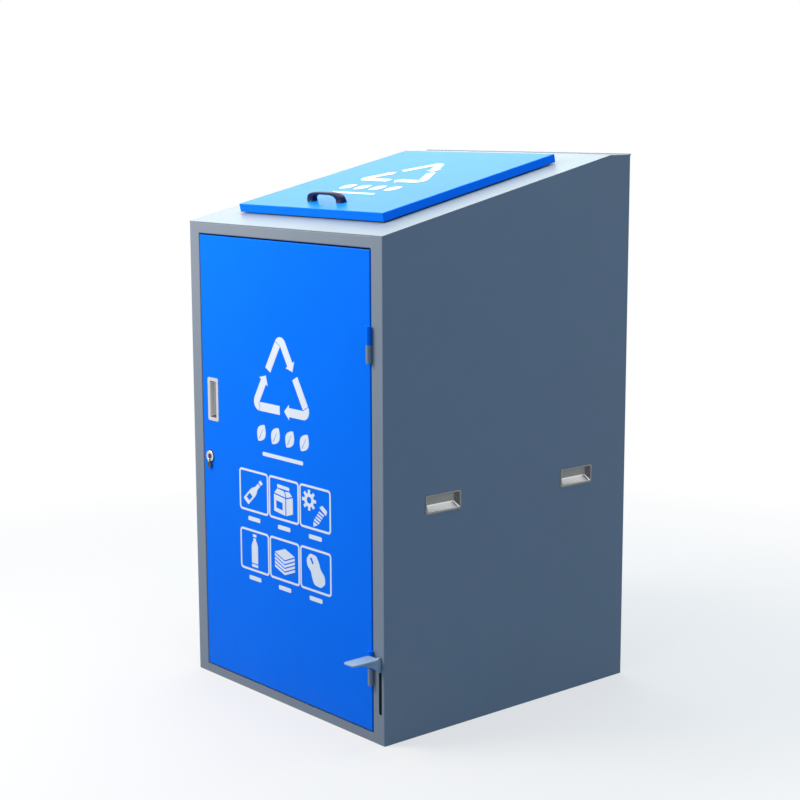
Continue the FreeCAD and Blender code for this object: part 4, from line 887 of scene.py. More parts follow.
class RecipeBook:
    """The Geometry Nodes trees of this object."""

    def __init__(self) -> None:
        """Builds every tree once."""
        self.dome_row = self._dome_row()
        self.frame_grid = self._frame_grid()
        self.trim = self._trim()
        self.tread_ring = self._tread_ring()
        self.rib_row = self._rib_row()

    @staticmethod
    def _dome_row() -> Recipe:
        """Row of round heads, for rivets, screws and weld ripples.

        Returns:
            The tree.
        """
        inputs = {
            "Count": "Int", "Start": "Vector", "Step": "Vector", "Radii": "Vector", "Material": "Material",
        }
        recipe = Recipe("dome_row", inputs)
        head = recipe.node("MeshUVSphere", {"Segments": 20, "Rings": 10, "Radius": 1.0})
        shaped = recipe.node("Transform", {"Geometry": head, "Scale": recipe.given["Radii"]})
        recipe.close(recipe.node("InstanceOnPoints", {"Points": recipe.row(), "Instance": shaped}))
        return recipe

    @staticmethod
    def _frame_grid() -> Recipe:
        """Grid of round-cornered frames cut from film.

        Returns:
            The tree.
        """
        inputs = {
            "Columns": "Int", "Rows": "Int", "Reach": "Vector", "Width": "Float", "Height": "Float",
            "Corner": "Float", "Line": "Float", "Thickness": "Float", "Material": "Material",
        }
        recipe = Recipe("frame_grid", inputs)
        given = recipe.given
        reach = recipe.graph.parts(given["Reach"])
        counts = {"Vertices X": given["Columns"], "Vertices Y": given["Rows"]}
        points = recipe.node("MeshGrid", {"Size X": reach[0], "Size Y": reach[1], **counts})
        outside = {"Width": given["Width"], "Height": given["Height"]}
        outline = recipe.node("CurvePrimitiveQuadrilateral", outside)
        strip = {"Width": given["Line"], "Height": given["Thickness"]}
        section = recipe.node("CurvePrimitiveQuadrilateral", strip)
        path = recipe.rounded(outline, steps=6)
        border = recipe.node("CurveToMesh", {"Curve": path, "Profile Curve": section})
        recipe.close(recipe.node("InstanceOnPoints", {"Points": points, "Instance": border}))
        return recipe

    @staticmethod
    def _trim() -> Recipe:
        """Rubber trim with an oval section along a path of edges.

        Returns:
            The tree.
        """
        inputs = {"Path": "Geometry", "Corner": "Float", "Section": "Vector", "Material": "Material"}
        recipe = Recipe("trim", inputs)
        edges = recipe.node("MeshToCurve", {"Mesh": recipe.given["Path"]})
        circle = recipe.node("CurvePrimitiveCircle", {"Resolution": 16, "Radius": 1.0})
        oval = recipe.node("Transform", {"Geometry": circle, "Scale": recipe.given["Section"]})
        path = recipe.rounded(edges, steps=5)
        recipe.close(recipe.node("CurveToMesh", {"Curve": path, "Profile Curve": oval, "Fill Caps": True}))
        return recipe

    @staticmethod
    def _tread_ring() -> Recipe:
        """Two staggered rings of tread blocks about the local Z axis.

        Returns:
            The tree.
        """
        inputs = {
            "Count": "Int", "Radius": "Float", "Block": "Vector", "Spread": "Float", "Material": "Material",
        }
        recipe = Recipe("tread_ring", inputs)
        given = recipe.given
        graph = recipe.graph
        points = recipe.node("MeshCircle", {"Vertices": given["Count"], "Radius": given["Radius"]})
        pitch = graph.math("DIVIDE", math.tau, given["Count"])
        angle = graph.math("MULTIPLY", recipe.node("InputIndex"), pitch)
        block = recipe.node("MeshCube", {"Size": given["Block"]})
        turn = recipe.xyz(0.0, 0.0, angle)
        ring = recipe.node("InstanceOnPoints", {"Points": points, "Instance": block, "Rotation": turn})
        half_turn = recipe.xyz(0.0, 0.0, graph.math("MULTIPLY", pitch, 0.5))
        up = {"Geometry": ring, "Translation": recipe.xyz(0.0, 0.0, given["Spread"])}
        back = graph.math("MULTIPLY", given["Spread"], -1.0)
        down = {"Geometry": ring, "Translation": recipe.xyz(0.0, 0.0, back), "Rotation": half_turn}
        joined = graph.add("GeometryNodeJoinGeometry")
        for side in (up, down):
            graph.feed(joined.inputs[0], recipe.node("Transform", side))
        recipe.close(joined.outputs[0])
        return recipe

    @staticmethod
    def _rib_row() -> Recipe:
        """Row of upright ribs leaning with a tapered wall.

        Returns:
            The tree.
        """
        inputs = {
            "Count": "Int", "Start": "Vector", "Step": "Vector", "Size": "Vector", "Lean": "Vector",
            "Material": "Material",
        }
        recipe = Recipe("rib_row", inputs)
        rib = recipe.node("MeshCube", {"Size": recipe.given["Size"]})
        leaning = {"Points": recipe.row(), "Instance": rib, "Rotation": recipe.given["Lean"]}
        recipe.close(recipe.node("InstanceOnPoints", leaning))
        return recipe


class Workbench:
    """Finishes new pieces: gives each a material from its slot, hangs it on its body, and hides the nodes
    that it stands for.
    """

    def __init__(self) -> None:
        """Opens the finish and recipe books."""
        self.finishes = FinishBook()
        self.recipes = RecipeBook()

    def fit(
        self, mesh: Mesh, body: Body, slot: Slot | None, material: Material | None = None,
        replaces: Sequence[str] = (),
    ) -> None:
        """Turns a mesh into a finished piece.

        Args:
            mesh: The mesh, in place, whose name the piece takes.
            body: The body that it rides on.
            slot: The slot of its finish, or None for a sign.
            material: Material to use instead of the slot's own finish.
            replaces: Nodes that the piece stands for.
        """
        name = mesh.name
        if not mesh.materials:
            corners = [vertex.co for vertex in mesh.vertices]
            low = Vector(map(min, *corners))
            high = Vector(map(max, *corners))
            mesh.materials.append(material or self.finishes.material(slot, name, low, high))
        piece = bpy.data.objects.new(name, mesh)
        bpy.context.scene.collection.objects.link(piece)
        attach(piece, body.value)
        if replaces:
            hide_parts(*replaces)
        LOG.info("%s rides on %s, %d faces", name, body.value, len(mesh.polygons))

    def dress_nodes(self, dark: Iterable[str]) -> None:
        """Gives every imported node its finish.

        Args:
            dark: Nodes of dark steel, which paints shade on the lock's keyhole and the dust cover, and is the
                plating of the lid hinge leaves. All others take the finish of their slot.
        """
        dark_nodes = set(dark)
        for subpart in frame["record"]["subparts"]:
            node = subpart["node"]
            low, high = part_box(node)
            if node in dark_nodes:
                material = self.finishes.metal(Metal.DARK, node, low, high)
            else:
                material = self.finishes.material(Slot(subpart["material_slot"]), node, low, high)
            mesh = frame["nodes"][node].data
            mesh.materials.clear()
            mesh.materials.append(material)
            LOG.info("%s takes %s", node, material.name)


class Figures:
    """Outlines of the signs, in millimetres about their own middle."""

    @staticmethod
    def soft(points: Sequence[Point], cut: float, steps: int = 5) -> Outline:
        """Rounds the corners of an outline.

        Args:
            points: The corner points.
            cut: Length that the rounding takes off each side of a corner.
            steps: Steps round each corner.

        Returns:
            The softer outline.
        """
        outline: Outline = []
        corners = [Vector(point) for point in points]
        for before, corner, after in zip(corners[-1:] + corners[:-1], corners, corners[1:] + corners[:1]):
            start = corner + (before - corner).normalized() * cut
            end = corner + (after - corner).normalized() * cut
            for step in range(steps + 1):
                share = step / steps
                point = start.lerp(corner, share).lerp(corner.lerp(end, share), share)
                outline.append((point.x, point.y))
        return outline

    @staticmethod
    def moved(
        outlines: Iterable[Outline], x: float, y: float, turn: float = 0.0, scale: Point = (1.0, 1.0),
    ) -> list[Outline]:
        """Turns, scales and moves outlines.

        Args:
            outlines: The outlines.
            x: Move to the right.
            y: Move upwards.
            turn: Turn in degrees, made first.
            scale: Stretch across and upwards, made after the turn.

        Returns:
            The new outlines.
        """
        cosine = math.cos(math.radians(turn))
        sine = math.sin(math.radians(turn))
        wide, tall = scale
        return [
            [(x + wide * (u * cosine - v * sine), y + tall * (u * sine + v * cosine)) for u, v in outline]
            for outline in outlines
        ]

    @staticmethod
    def circle(x: float, y: float, radius: float, steps: int = 28) -> Outline:
        """Round outline."""
        angles = [math.tau * step / steps for step in range(steps)]
        return [(x + radius * math.cos(a), y + radius * math.sin(a)) for a in angles]

    @staticmethod
    def plate(half_x: float, low: float, high: float) -> Outline:
        """Rectangle about the upright middle line."""
        return [(-half_x, low), (half_x, low), (half_x, high), (-half_x, high)]

    @staticmethod
    def mirrored(half: Outline) -> Outline:
        """Outline of a right half and its mirror image."""
        return half + [(-x, y) for x, y in half[::-1]]

    @classmethod
    def arrow_triangle(cls, corner: float, band: float) -> list[Outline]:
        """Three folded arrows that chase each other round a triangle.

        Args:
            corner: Distance from the middle to the outside of a corner.
            band: Width of the arrows.

        Returns:
            Two outlines for each arrow, with a thin fold between them.
        """
        fold_gap = 1.6
        bend_steps = 12
        barb = band * 0.37
        head = band * 0.86
        inner = corner - band
        side = inner * math.sqrt(3)
        tail_end = side * 0.47
        shaft_end = side * 0.43 - head
        elbow = Vector((0.0, inner))
        tail_run = Vector((-math.sin(math.pi / 6), -math.cos(math.pi / 6)))
        tail_out = Vector((tail_run.y, -tail_run.x))
        head_run = Vector((-tail_run.x, tail_run.y))
        head_out = Vector((-tail_out.x, tail_out.y))
        tail = [
            elbow + tail_run * fold_gap, elbow + tail_run * tail_end,
            elbow + tail_run * tail_end + tail_out * band, elbow + tail_run * fold_gap + tail_out * band,
        ]
        start = math.atan2(tail_out.y, tail_out.x)
        end = math.atan2(head_out.y, head_out.x)
        bend = [start + (end - start) * step / bend_steps for step in range(bend_steps + 1)]
        shaft = elbow + head_run * shaft_end
        pointed = [elbow] + [elbow + Vector((math.cos(a), math.sin(a))) * band for a in bend] + [
            shaft + head_out * band,
            shaft + head_out * (band + barb),
            shaft + head_run * head + head_out * (band / 2),
            shaft - head_out * barb,
            shaft,
        ]
        arrow = [[(point.x, point.y) for point in part] for part in (tail, pointed)]
        return [part for turn in (0, 120, 240) for part in cls.moved(arrow, 0, 0, turn)]

    @classmethod
    def rule(cls, x: float, y: float, length: float, height: float) -> Outline:
        """Plain bar with soft ends.

        Args:
            x: Its middle, to the right.
            y: Its middle, upwards.
            length: Its length.
            height: Its height.

        Returns:
            The outline.
        """
        end_share = 0.7
        half_y = height / 2
        bar = cls.soft(cls.plate(length / 2, -half_y, half_y), half_y * end_share)
        return cls.moved([bar], x, y)[0]

    @classmethod
    def leaves(cls, count: int, pitch: float, size: Point) -> list[Outline]:
        """Row of plain leaves, each with a slit for its rib.

        Args:
            count: How many leaves.
            pitch: Distance from one leaf to the next.
            size: Width and length of a leaf.

        Returns:
            Two outlines for each leaf.
        """
        steps = 14
        lean = -32.0
        belly = 0.85
        rib_foot, rib_tip = 0.9, 0.5
        half_x, half_y = size[0] / 2, size[1] / 2
        rib_low, rib_high = -half_y * 0.72, half_y * 0.5
        rib = [(-rib_foot, rib_low), (rib_foot, rib_low), (rib_tip, rib_high), (-rib_tip, rib_high)]
        shares = [step / steps for step in range(steps)]
        right = [(half_x * math.sin(math.pi * t) ** belly, -half_y + 2 * half_y * t) for t in shares]
        left = [(-x, -y) for x, y in right]
        start = -(count - 1) / 2 * pitch
        return [
            outline for index in range(count)
            for outline in cls.moved([right + left, rib], start + index * pitch, 0, lean)
        ]

    @classmethod
    def glass_bottle(cls) -> list[Outline]:
        """Leaning bottle with a label and a cap.

        Returns:
            Its outlines.
        """
        lean = -42.0
        body = cls.soft(cls.mirrored([(9.8, -36), (9.8, -4), (8, 4), (4.4, 11), (4.2, 24)]), 2.0)
        label = cls.soft(cls.plate(5.6, -27, -12), 1.5)
        cap = cls.soft(cls.plate(5, 27, 35), 1.5)
        return cls.moved([body, label, cap], 0, 0, lean)

    @classmethod
    def drink_carton(cls) -> list[Outline]:
        """Carton with a gable top, seen from one corner.

        Returns:
            Its outlines.
        """
        front = [(-26, -30), (4, -35), (4, 3), (-26, 8)]
        flank = [(6.5, -35), (24, -27), (24, 9), (6.5, 3)]
        slope = [(-25, 11), (5, 6), (1, 19), (-17, 22)]
        gable = [(7.5, 6), (22, 11.5), (15, 20), (3.5, 19)]
        fin = [(-17, 24.5), (15, 22.5), (15, 30), (-17, 32)]
        label = [(-20, -22), (-3, -25), (-3, -8), (-20, -5)]
        return [cls.soft(part, 1.2) for part in (front, flank, slope, gable, fin, label)]

    @classmethod
    def gear_and_screw(cls) -> list[Outline]:
        """Toothed wheel above a leaning screw.

        Returns:
            Their outlines.
        """
        teeth = 8
        root, tip, bore = 15.5, 23.0, 7.5
        screw_lean = -36.0
        gear: Outline = []
        for tooth in range(teeth):
            for share, radius in ((-0.3, root), (-0.2, tip), (0.2, tip), (0.3, root)):
                angle = math.tau * (tooth + share) / teeth
                gear.append((radius * math.cos(angle), radius * math.sin(angle)))
        wheel = cls.moved([gear, cls.circle(0, 0, bore)], -19, 15)
        head = cls.soft([(-11, 15), (11, 15), (8, 24), (-8, 24)], 2.0)
        threads = [[(-7, y - 2), (7, y + 1), (7, y + 5), (-7, y + 2)] for y in (7, 0, -7, -14)]
        point = [(-6, -19), (6, -16), (0, -27)]
        return wheel + cls.moved([head, *threads, point], 14, -16, screw_lean, (1.22, 1.12))

    @classmethod
    def tall_bottle(cls) -> list[Outline]:
        """Upright bottle with a cap and a foot line.

        Returns:
            Its outlines.
        """
        body = cls.soft(cls.mirrored([(9, -29), (9, 12), (6, 20), (3.8, 23), (3.8, 29)]), 1.6)
        foot = cls.soft(cls.plate(9, -38, -31.5), 1.8)
        cap = cls.soft(cls.plate(5, 31.5, 38), 1.2)
        return [body, foot, cap]

    @classmethod
    def paper_stack(cls) -> list[Outline]:
        """Stack of sheets seen from one corner.

        Returns:
            Its outlines.
        """
        sheets = 4
        pitch, thickness = 8.5, 5.5
        stack = [cls.soft([(-27, 14), (1, 27), (28, 15), (0, 1)], 1.2)]
        for sheet in range(sheets):
            drop = pitch * sheet
            upper = [(-27, 11 - drop), (0, -2 - drop), (28, 12 - drop)]
            stack.append(upper + [(x, y - thickness) for x, y in upper[::-1]])
        return stack

    @classmethod
    def folded_cloth(cls) -> list[Outline]:
        """Hanging cloth with a drawn-in waist and a fold.

        Returns:
            Its outlines.
        """
        edge = [
            (-25, 21), (-16, 35), (2, 33), (10, 18), (13, 6), (25, -8), (26, -24), (14, -35),
            (-4, -32), (-10, -18), (-13, -4), (-23, 6),
        ]
        fold = [(-16, 24), (-11, 27), (-5, 14), (-9, 12)]
        return [cls.soft(edge, 5.2), cls.soft(fold, 1.4)]


@dataclass
class Roof:
    """The sloped top, and the place of anything that lies on it."""

    ledge: float = 68 * MM
    sheet: float = 1.5 * MM
    lid_height: float = 22.0 * MM

    def __post_init__(self) -> None:
        """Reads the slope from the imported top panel."""
        low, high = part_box("top_panel")
        run = high.y - low.y - self.ledge
        rise = high.z - low.z - self.sheet
        self.angle = math.atan2(rise, run)
        self.length = math.hypot(rise, run)
        self.front = Vector((0.0, low.y, high.z - rise))

    def place(self, along: float = 0.0, above: float = 0.0) -> Matrix:
        """Matrix that lays a drawing on the slope, from its front edge."""
        slope = Matrix.Translation(self.front) @ Matrix.Rotation(self.angle, 4, "X")
        return slope @ Matrix.Translation((0.0, along, above))


def facing(origin: Vector, across: Vector = RIGHTWARD, along: Vector = UPWARD) -> Matrix:
    """Matrix that lays a drawing on a wall, the front by default, its Z axis pointing out of the wall."""
    out = across.cross(along)
    return Matrix.Translation(origin) @ Matrix((across, along, out)).transposed().to_4x4()


def edge_path(name: str, points: Sequence[Point], closed: bool) -> Mesh:
    """Mesh of edges for a trim to follow.

    Args:
        name: Name of the mesh.
        points: Flat points along the path.
        closed: Joins the last point to the first.

    Returns:
        The mesh.
    """
    count = len(points)
    edges = [(index, index + 1) for index in range(count - 1)]
    if closed:
        edges.append((count - 1, 0))
    mesh = bpy.data.meshes.new(name)
    mesh.from_pydata([(x, y, 0.0) for x, y in points], edges, [])
    return mesh


@dataclass(frozen=True)
class PullKind:
    """What differs between the door's pull and the side pulls, including the metals that paint their light
    and shade.
    """

    rim: float
    draft: float
    floor_lift: float
    rim_metal: Metal
    cup_shade_metal: Metal


# The door pull's cup takes a darker zinc than its rim: painted shade in the recess.
DOOR_PULL = PullKind(
    rim=8.5 * MM, draft=3.0 * MM, floor_lift=0.0, rim_metal=Metal.BRIGHT, cup_shade_metal=Metal.CUP_SHADE,
)
# The side pulls take a darker zinc on rim and cup: painted shade of the side that faces away from the key
# light.
SIDE_PULL = PullKind(
    rim=4.0 * MM, draft=9.0 * MM, floor_lift=5.0 * MM, rim_metal=Metal.SIDE_SHADE, cup_shade_metal=Metal.SIDE_SHADE,
)


@dataclass
class FlushPull:
    """Recessed finger pull: a flat rim round a cup whose floor leans to one side, with metals that paint a
    highlight and shade in the cup.
    """

    bench: Workbench
    node: str
    body: Body
    across: Vector
    along: Vector
    kind: PullKind
    proud: float = 1.5 * MM
    soft: float = 0.6 * MM
    corner: float = 5.0 * MM
    corner_shrink: float = 0.25
    least_corner: float = 1.5 * MM
    cup_depth: float = 10.5 * MM
    cup_bends: tuple[Point, ...] = ((0.75, 0.8), (0.86, 0.94))
    back_bend: Point = (0.7, 0.85)
    wall: float = 1.2 * MM
    # Painted light in the cup: faces that face up more than the first take bright plate as a painted
    # highlight; faces that face along the pull more than the second take dark steel as painted shade.
    highlight_rise: float = 0.3
    shaded_end_rise: float = 0.5

    def build(self) -> None:
        """Builds the pull in place of its node."""
        low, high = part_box(self.node)
        size = high - low
        half_x = abs(size.dot(self.across)) / 2
        half_y = abs(size.dot(self.along)) / 2
        out = self.across.cross(self.along)
        face = high if sum(out) > 0 else low
        middle = (low + high) / 2
        origin = middle + out * ((face - middle).dot(out) - self.proud)
        rings = [self._ring(half_x, half_y, inset, height) for inset, height in self._section()]
        name = self.node + "_shell"
        mesh = MeshKit.loft(name, rings, facing(origin, self.across, self.along))
        # The cup's faces take brighter or darker metals as painted highlight and painted shade.
        metals = list(dict.fromkeys((self.kind.rim_metal, self.kind.cup_shade_metal, Metal.BRIGHT, Metal.DARK)))
        for metal in metals:
            mesh.materials.append(self.bench.finishes.metal(metal, name, low, high))
        for polygon in mesh.polygons:
            inside = (polygon.center - origin).dot(out) < 0
            polygon.material_index = metals.index(self._metal_with_painted_light(polygon.normal, inside))
        self.bench.fit(mesh, self.body, Slot.BRIGHT_METAL, replaces=[self.node])

    def _section(self) -> list[Point]:
        """Section from the back of the cup over the rim to the cup's floor.

        Returns:
            (inset from the outside, height over the wall) points.
        """
        rim, draft = self.kind.rim, self.kind.draft
        proud, depth, wall, soft = self.proud, self.cup_depth, self.wall, self.soft
        bow = soft * EDGE_BOW
        back_run, back_drop = self.back_bend
        return [
            (rim + draft, -depth - wall), (rim + draft * back_run, -depth * back_drop - wall),
            (rim - wall, -wall), (rim - wall, 0.0),
            (0.0, 0.0), (0.0, proud - soft), (bow, proud - bow), (soft, proud),
            (rim - soft, proud), (rim - bow, proud - bow), (rim, proud - soft),
            *((rim + draft * run, -depth * drop) for run, drop in self.cup_bends),
            (rim + draft, -depth),
        ]

    def _metal_with_painted_light(self, normal: Vector, inside: bool) -> Metal:
        """Chooses the metal of a face, which paints light and shade in the cup.

        Args:
            normal: The face's direction.
            inside: Whether the face lies in the cup.

        Returns:
            The rim's own, bright as a painted highlight on an upward ramp, dark as painted shade at the cup's
            ends, or else the cup's own, which paints shade in the recess.
        """
        if not inside:
            return self.kind.rim_metal
        if self.kind.floor_lift and normal.z > self.highlight_rise:
            return Metal.BRIGHT
        return Metal.DARK if abs(normal.dot(self.along)) > self.shaded_end_rise else self.kind.cup_shade_metal

    def _ring(self, half_x: float, half_y: float, inset: float, height: float) -> list[Vector]:
        """Ring of the pull.

        Args:
            half_x: Half the pull's width.
            half_y: Half its length.
            inset: Inset from its outside.
            height: Height over the wall.

        Returns:
            The ring's points, shifted where the floor leans.
        """
        radius = max(self.corner - inset * self.corner_shrink, self.least_corner)
        ring = MeshKit.rounded_rectangle(half_x - inset, half_y - inset, radius, height)
        lift = self.kind.floor_lift * max(-height / self.cup_depth, 0.0)
        shift = Vector((self.across.z * lift, 0.0, 0.0))
        return [point + shift for point in ring]


@dataclass(frozen=True)
class Heading:
    """What both signs show, in millimetres: the arrow triangle, a row of leaves and a bar."""

    arrow_place: Point
    arrow_stretch: Point
    leaf_place: Point
    leaf_size: Point
    bar_place: Point
    bar_size: Point = (150.0, 9.0)
    arrow_corner: float = 114.5
    arrow_band: float = 21.0
    leaf_count: int = 4
    leaf_pitch: float = 53.0

    def outlines(self) -> list[Outline]:
        """Draws the heading.

        Returns:
            Its outlines.
        """
        arrows = Figures.arrow_triangle(self.arrow_corner, self.arrow_band)
        leaves = Figures.leaves(self.leaf_count, self.leaf_pitch, self.leaf_size)
        return [
            *Figures.moved(arrows, *self.arrow_place, scale=self.arrow_stretch),
            *Figures.moved(leaves, *self.leaf_place),
            Figures.rule(*self.bar_place, *self.bar_size),
        ]


@dataclass
class DoorSign:
    """White film on the door, in millimetres: the heading, six framed pictograms and their bars."""

    bench: Workbench
    heading: Heading = Heading(
        arrow_place=(-2.0, 733.0), arrow_stretch=(1.0, 0.957), leaf_place=(2.0, 618.0),
        leaf_size=(32.0, 46.0), bar_place=(1.0, 571.0),
    )
    frame_rows: Point = (477.3, 337.5)
    frame_columns: Triple = (-111.0, 3.0, 117.0)
    frame_size: Point = (107.0, 93.0)
    frame_line: float = 5.0
    frame_corner: float = 7.5
    picture_widths: tuple[Triple, Triple] = ((1.3, 1.4, 1.1), (1.35, 1.36, 1.3))
    picture_height: float = 1.02
    caption_drop: float = 65.5
    caption_size: Point = (46.0, 10.0)

    def build(self) -> None:
        """Builds the cut film and the frames."""
        low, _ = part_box("door_skin")
        place = facing(Vector((0.0, low.y - FILM_LIFT, 0.0)))
        film = self.bench.finishes.sign("door_sign")
        outlines = self.heading.outlines() + self._pictures()
        sheet = MeshKit.cutout("door_sign", outlines, FILM / MM, place @ Matrix.Scale(MM, 4))
        self.bench.fit(sheet, Body.DOOR, None, film)
        left, middle, right = self.frame_columns
        upper, lower = self.frame_rows
        width, height = self.frame_size
        values = {
            "Columns": len(self.frame_columns), "Rows": len(self.frame_rows),
            "Reach": ((right - left) * MM, (upper - lower) * MM, 0.0),
            "Width": width * MM, "Height": height * MM, "Corner": self.frame_corner * MM,
            "Line": self.frame_line * MM, "Thickness": FILM, "Material": film,
        }
        centre = place @ Matrix.Translation((middle * MM, (upper + lower) / 2 * MM, 0.0))
        frames = self.bench.recipes.frame_grid.mesh("door_sign_frames", values, centre)
        self.bench.fit(frames, Body.DOOR, None)

    def _pictures(self) -> list[Outline]:
        """Draws the pictograms, each over a bar.

        Returns:
            Their outlines.
        """
        pictures = (
            (Figures.glass_bottle, Figures.drink_carton, Figures.gear_and_screw),
            (Figures.tall_bottle, Figures.paper_stack, Figures.folded_cloth),
        )
        outlines: list[Outline] = []
        for y, row, widths in zip(self.frame_rows, pictures, self.picture_widths):
            for x, picture, width in zip(self.frame_columns, row, widths):
                outlines += Figures.moved(picture(), x, y, scale=(width, self.picture_height))
                outlines.append(Figures.rule(x, y - self.caption_drop, *self.caption_size))
        return outlines


@dataclass
class LidSign:
    """White film on the lid: the heading alone."""

    bench: Workbench
    roof: Roof
    heading: Heading = Heading(
        arrow_place=(0.0, 384.0), arrow_stretch=(1.08, 0.92), leaf_place=(3.0, 266.0),
        leaf_size=(33.0, 44.0), bar_place=(0.0, 217.0),
    )

    def build(self) -> None:
        """Builds the cut film."""
        place = self.roof.place(above=self.roof.lid_height + FILM_LIFT) @ Matrix.Scale(MM, 4)
        sheet = MeshKit.cutout("lid_sign", self.heading.outlines(), FILM / MM, place)
        self.bench.fit(sheet, Body.LID, None, self.bench.finishes.sign("lid_sign"))


@dataclass
class LidHandle:
    """Moulded bow handle with broad legs, a thin grip and flared feet."""

    bench: Workbench
    roof: Roof
    along: float = 141.0 * MM
    outer: Point = (64.5 * MM, 22.4 * MM)
    outer_squareness: float = 3.6
    inner: Point = (39.0 * MM, 16.2 * MM)
    inner_squareness: float = 3.0
    grip_width: float = 15.0 * MM
    foot_width: float = 20.0 * MM
    flare_height: float = 9.0 * MM
    corner_share: float = 0.42
    steps: int = 64

    def build(self) -> None:
        """Lofts the sections of the bow from foot to foot."""
        rings = [self._section(math.pi * step / self.steps) for step in range(self.steps + 1)]
        place = self.roof.place(along=self.along, above=self.roof.lid_height)
        mesh = MeshKit.loft("lid_handle_bow", rings, place)
        self.bench.fit(mesh, Body.LID, Slot.BLACK_PLASTIC, replaces=["lid_handle"])

    @staticmethod
    def _bow(size: Point, squareness: float, angle: float) -> Vector:
        """Point of a squared half oval.

        Args:
            size: Half width and height of the oval.
            squareness: 2 for a plain oval, more for a squarer one.
            angle: Angle from 0 to a half turn.

        Returns:
            The point.
        """
        power = 2 / squareness
        cosine = math.cos(angle)
        x = math.copysign(abs(cosine) ** power, cosine) * size[0]
        return Vector((x, 0.0, abs(math.sin(angle)) ** power * size[1]))

    def _section(self, angle: float) -> list[Vector]:
        """Soft-cornered section from the inside of the bow to its outside.

        Args:
            angle: Angle along the bow, from 0 to a half turn.

        Returns:
            The section's points.
        """
        outside = self._bow(self.outer, self.outer_squareness, angle)
        inside = self._bow(self.inner, self.inner_squareness, angle)
        centre = (outside + inside) / 2
        across = outside - inside
        thick = across.length
        flare = (1 - min(centre.z / self.flare_height, 1.0)) ** 2
        wide = self.grip_width + (self.foot_width - self.grip_width) * flare
        radius = min(thick, wide) * self.corner_share
        ring = MeshKit.rounded_rectangle(thick / 2, wide / 2, radius, 0.0)
        direction = across.normalized()
        return [centre + direction * point.x + Vector((0.0, point.y, 0.0)) for point in ring]


@dataclass
class Lock:
    """Rolled face of the cam lock, and a dark rubber ring behind it that paints the lock's shadow on the
    door.
    """

    bench: Workbench
    face_radius: float = 13.5 * MM
    proud: float = 4.0 * MM
    shank_radius: float = 9.0 * MM
    plug_bore: float = 6.15 * MM
    plug_floor: float = 2.6 * MM
    bore_lip: Point = (6.9 * MM, 2.7 * MM)
    rolled_millimetres: tuple[Point, ...] = (
        (-0.2, 0.0), (0.0, 0.3), (0.0, 2.3), (-0.35, 3.2), (-1.1, 3.8), (-2.2, 4.0), (-3.4, 3.8), (-4.2, 3.2),
        (-4.6, 2.8),
    )
    shadow_ring_reach: float = 2.0 * MM
    shadow_ring_proud: float = 1.0 * MM
    shadow_ring_bore: float = 9.4 * MM
    shadow_ring_soft: float = 0.4 * MM
    shadow_ring_slack: float = 0.1 * MM
    shadow_ring_clear: float = 0.02 * MM

    def build(self) -> None:
        """Turns the lock face, and the dark ring that paints its shadow."""
        low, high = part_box("lock_barrel")
        origin = Vector(((low.x + high.x) / 2, low.y + self.proud, (low.z + high.z) / 2))
        rear = low.y - high.y + self.proud
        radius = self.face_radius
        face = [
            (self.plug_bore, self.plug_floor), (self.plug_bore, rear),
            (self.shank_radius, rear), (self.shank_radius, 0.0),
            *((radius + out, height) for out, height in in_metres(self.rolled_millimetres)),
            self.bore_lip,
        ]
        mesh = MeshKit.turned("lock_face", face, facing(origin))
        self.bench.fit(mesh, Body.DOOR, Slot.BRIGHT_METAL, replaces=["lock_barrel"])
        # Dark rubber ring round the face: painted shadow of the lock on the door.
        bore, thick, clear = self.shadow_ring_bore, self.shadow_ring_proud, self.shadow_ring_clear
        outside = radius + self.shadow_ring_reach
        inside = radius + self.shadow_ring_slack
        shadow_ring = [
            (bore, clear), (outside, clear), (outside, thick - self.shadow_ring_soft),
            (outside - self.shadow_ring_soft, thick), (inside, thick), (inside, self.shadow_ring_slack),
            (bore, self.shadow_ring_slack),
        ]
        mesh = MeshKit.turned("lock_shadow_ring", shadow_ring, facing(origin))
        self.bench.fit(mesh, Body.DOOR, Slot.SEAL_RUBBER)


